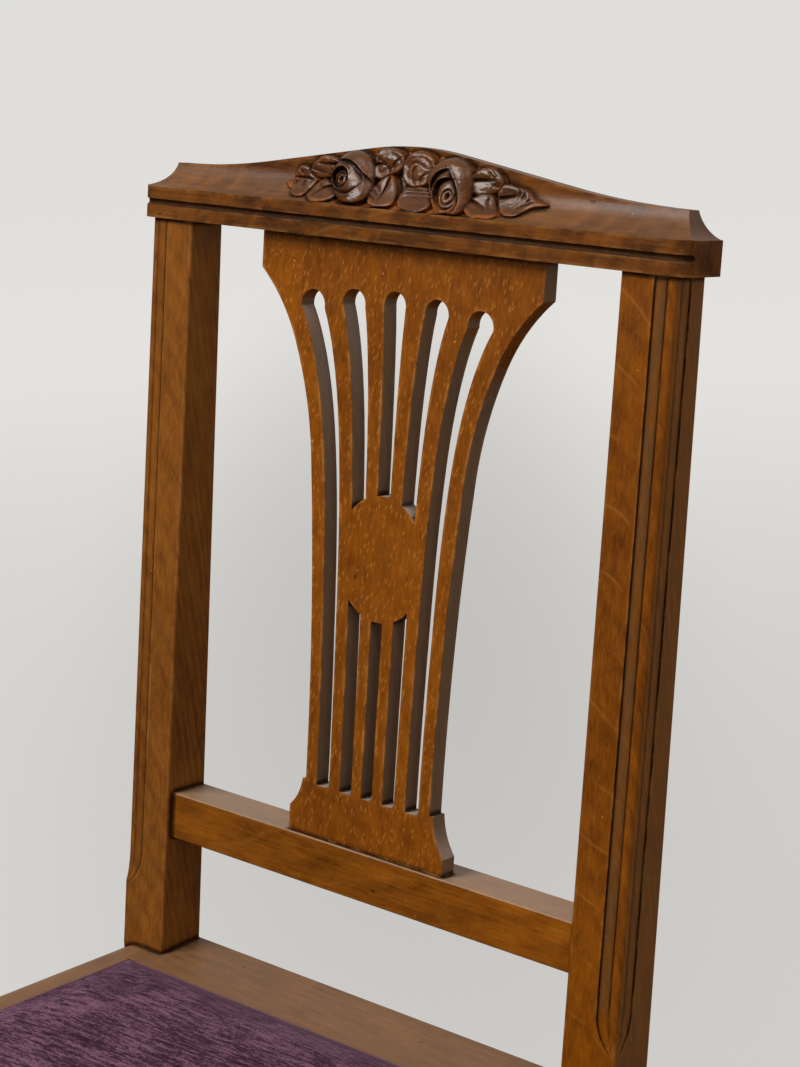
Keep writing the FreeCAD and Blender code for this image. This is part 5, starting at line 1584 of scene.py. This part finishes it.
@dataclass
class Webbing:
    """Jute straps woven across the seat frame, and the hessian over them."""

    pad: SeatPad
    lengthwise: tuple[float, ...] = (-111.0, -37.0, 37.0, 111.0)
    crosswise: tuple[float, ...] = (-142.7, -70.0, 2.7, 75.4)
    half: float = 29.0
    low: float = -5.4
    rise: float = 1.2
    end_gap: float = 3.0
    cloth_inset: float = 2.0
    cloth_level: float = -3.2
    cloth_thick: float = 0.7
    cloth_cells: int = 88
    sag: float = 0.45
    fray: tuple[float, float] = (-0.5, 0.4)
    half_sheet: float = 180.0
    band: WovenBand = WovenBand(57.6, 2.3, 0.52, 0.56, core=0.62)

    def path(self, start: float, end: float, crossings: Sequence[float],
             raised: bool) -> list[tuple[float, float]]:
        """A strap's line, over every other strap that it crosses.

        Args:
            start: where it starts.
            end: where it ends.
            crossings: the middles of the straps it crosses.
            raised: whether it rides over the first.

        Returns:
            Places along it and their heights over the seat frame.
        """
        points = []
        for centre in crossings:
            level = self.low + (self.rise if raised else 0.0)
            points += [(max(centre - self.half, start), level), (min(centre + self.half, end), level)]
            raised = not raised
        if points[0][0] > start:
            points.insert(0, (start, self.low))
        if points[-1][0] < end:
            points.append((end, self.low))
        return points

    def straps(self) -> tuple[list[Net], list[Net]]:
        """The middle lines of the straps each way."""
        top = SEAT_TOP / MM
        pad = self.pad
        near, far = pad.front_y + self.end_gap, pad.rear_y - self.end_gap
        along = [np.array([[x, y, top + z] for y, z in self.path(near, far, self.crosswise, i % 2 == 1)])
                 for i, x in enumerate(self.lengthwise)]
        slope = (pad.front_half - pad.rear_half) / (pad.rear_y - pad.front_y)
        across = []
        for i, y in enumerate(self.crosswise):
            reach = pad.rear_half + slope * (pad.rear_y - y - self.half) - self.end_gap
            path = self.path(-reach, reach, self.lengthwise, i % 2 == 0)
            across.append(np.array([[x, y, top + z] for x, z in path]))
        return along, across

    def cloth(self) -> Piece:
        """The hessian: a sheet that sags a little between the straps, with a frayed edge."""
        count = self.cloth_cells
        rear_right, rear_left, front_left, front_right = self.pad.corners(self.cloth_inset)
        s, t = np.meshgrid(np.linspace(0, 1, count), np.linspace(0, 1, count))
        flat = ((1 - s)[..., None] * ((1 - t)[..., None] * front_left + t[..., None] * rear_left)
                + s[..., None] * ((1 - t)[..., None] * front_right + t[..., None] * rear_right))
        open_x = np.min([np.abs(flat[..., 0] - x) for x in self.lengthwise], 0) > self.half
        open_y = np.min([np.abs(flat[..., 1] - y) for y in self.crosswise], 0) > self.half
        level = SEAT_TOP / MM + self.cloth_level - self.sag * (open_x & open_y)
        fray = np.random.default_rng(8).uniform(*self.fray, s.shape)
        edge = (s == 0) | (s == 1) | (t == 0) | (t == 1)
        flat = flat + (flat - flat.mean((0, 1))) * (edge * fray)[..., None] / self.half_sheet
        sides = (level + self.cloth_thick / 2, level - self.cloth_thick / 2)
        top, under = (np.concatenate([flat, side[..., None]], -1).reshape(-1, 3) * MM for side in sides)
        number = np.arange(count * count).reshape(count, count)
        cells = quads(number).reshape(-1, 4)
        ring = np.concatenate([number[0, :-1], number[:-1, -1], number[-1, :0:-1], number[:0:-1, 0]])
        rim = [(b, a, a + count ** 2, b + count ** 2) for a, b in zip(ring, np.roll(ring, -1))]
        faces = cells.tolist() + (cells[:, ::-1] + count ** 2).tolist() + rim
        finish = HESSIAN.material("hessian_sheet")
        return new_object("hessian_sheet", np.concatenate([top, under]), faces, finish)

    def build(self) -> None:
        """Builds the straps and the hessian."""
        along, across = self.straps()
        material = JUTE.material("webbing_straps")
        made = ((self.band.lay("straps_lengthwise", along, material), "webbing_lengthwise", JUTE.name),
                (self.band.lay("straps_crosswise", across, material), "webbing_crosswise", JUTE.name),
                (self.cloth(), "hessian", HESSIAN.name))
        for piece, node, slot in made:
            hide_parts(node)
            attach(piece, "root")
            log.info("%s: %d faces", piece.name, len(piece.data.polygons))


@dataclass(frozen=True)
class Board:
    """How one wooden piece was sawn and finished."""

    finish: StainedBeech
    grain: Grain
    pith: tuple[float, float]
    raw_ways: tuple[Triple, ...] = ()


@dataclass
class Frame:
    """The chair's wood and its small hardware, which keep the shapes of the construction model."""

    boards: dict[str, Board] = field(default_factory=lambda: {
        "rear_leg_left": Board(LEFT_POST_BEECH, Grain.RAKED, (0.20, 0.05)),
        "rear_leg_right": Board(RIGHT_POST_BEECH, Grain.RAKED, (-0.165, 0.035), (RIGHT,)),
        "crest_rail": Board(CREST_BEECH, Grain.ACROSS, (1.0, 0.1)),
        "back_splat": Board(SPLAT_BEECH, Grain.RAKED, (0.02, 0.35), (RIGHT, LEFT)),
        "lower_back_rail": Board(HONEY_BEECH, Grain.ACROSS, (0.62, 0.05)),
        "seat_rail_front": Board(SEAT_BEECH, Grain.ACROSS, (0.48, 0.3), (BACK, DOWN)),
        "seat_rail_rear": Board(SEAT_BEECH, Grain.ACROSS, (0.50, -0.1), (FRONT, DOWN)),
        "seat_rail_left": Board(SEAT_BEECH, Grain.FRONT_TO_BACK, (0.25, 0.5), (RIGHT, DOWN)),
        "seat_rail_right": Board(SEAT_BEECH, Grain.FRONT_TO_BACK, (-0.25, 0.5), (LEFT, DOWN)),
        "front_leg_left": Board(SEAT_BEECH, Grain.UPRIGHT, (0.26, 0.24)),
        "front_leg_right": Board(SEAT_BEECH, Grain.UPRIGHT, (-0.26, 0.24)),
        "corner_block_front_left": Board(RAW_BEECH, Grain.ACROSS, (0.3, 0.1)),
        "corner_block_front_right": Board(RAW_BEECH, Grain.ACROSS, (0.2, 0.15)),
        "corner_block_rear_left": Board(RAW_BEECH, Grain.ACROSS, (0.25, 0.2)),
        "corner_block_rear_right": Board(RAW_BEECH, Grain.ACROSS, (0.15, 0.12)),
    })
    hardware: dict[str, Steel] = field(default_factory=lambda: {
        "corner_block_screws": SCREW_STEEL,
        "webbing_tacks": BLUED_STEEL,
    })

    def dress(self, name: str, material: Material, slot: str) -> None:
        """Puts one finish on a piece of the construction model."""
        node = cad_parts[name]
        node.data.materials.clear()
        node.data.materials.append(material)
        log.info("%s: %s", name, slot)

    def build(self) -> None:
        """Gives each piece of the frame its finish."""
        for number, (name, board) in enumerate(self.boards.items(), 1):
            finish = board.finish
            material = finish.material(name, board.grain, number, board.pith, board.raw_ways)
            self.dress(name, material, finish.name)
        for name, metal in self.hardware.items():
            self.dress(name, metal.material(name), metal.name)


def main() -> None:
    """Builds the stage and dresses the chair."""
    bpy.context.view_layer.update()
    Stage().build()
    Frame().build()
    Carving().build()
    pad = SeatPad()
    pad.build()
    GimpBraid(pad).build()
    Webbing(pad).build()


if __name__ == "__main__":
    main()
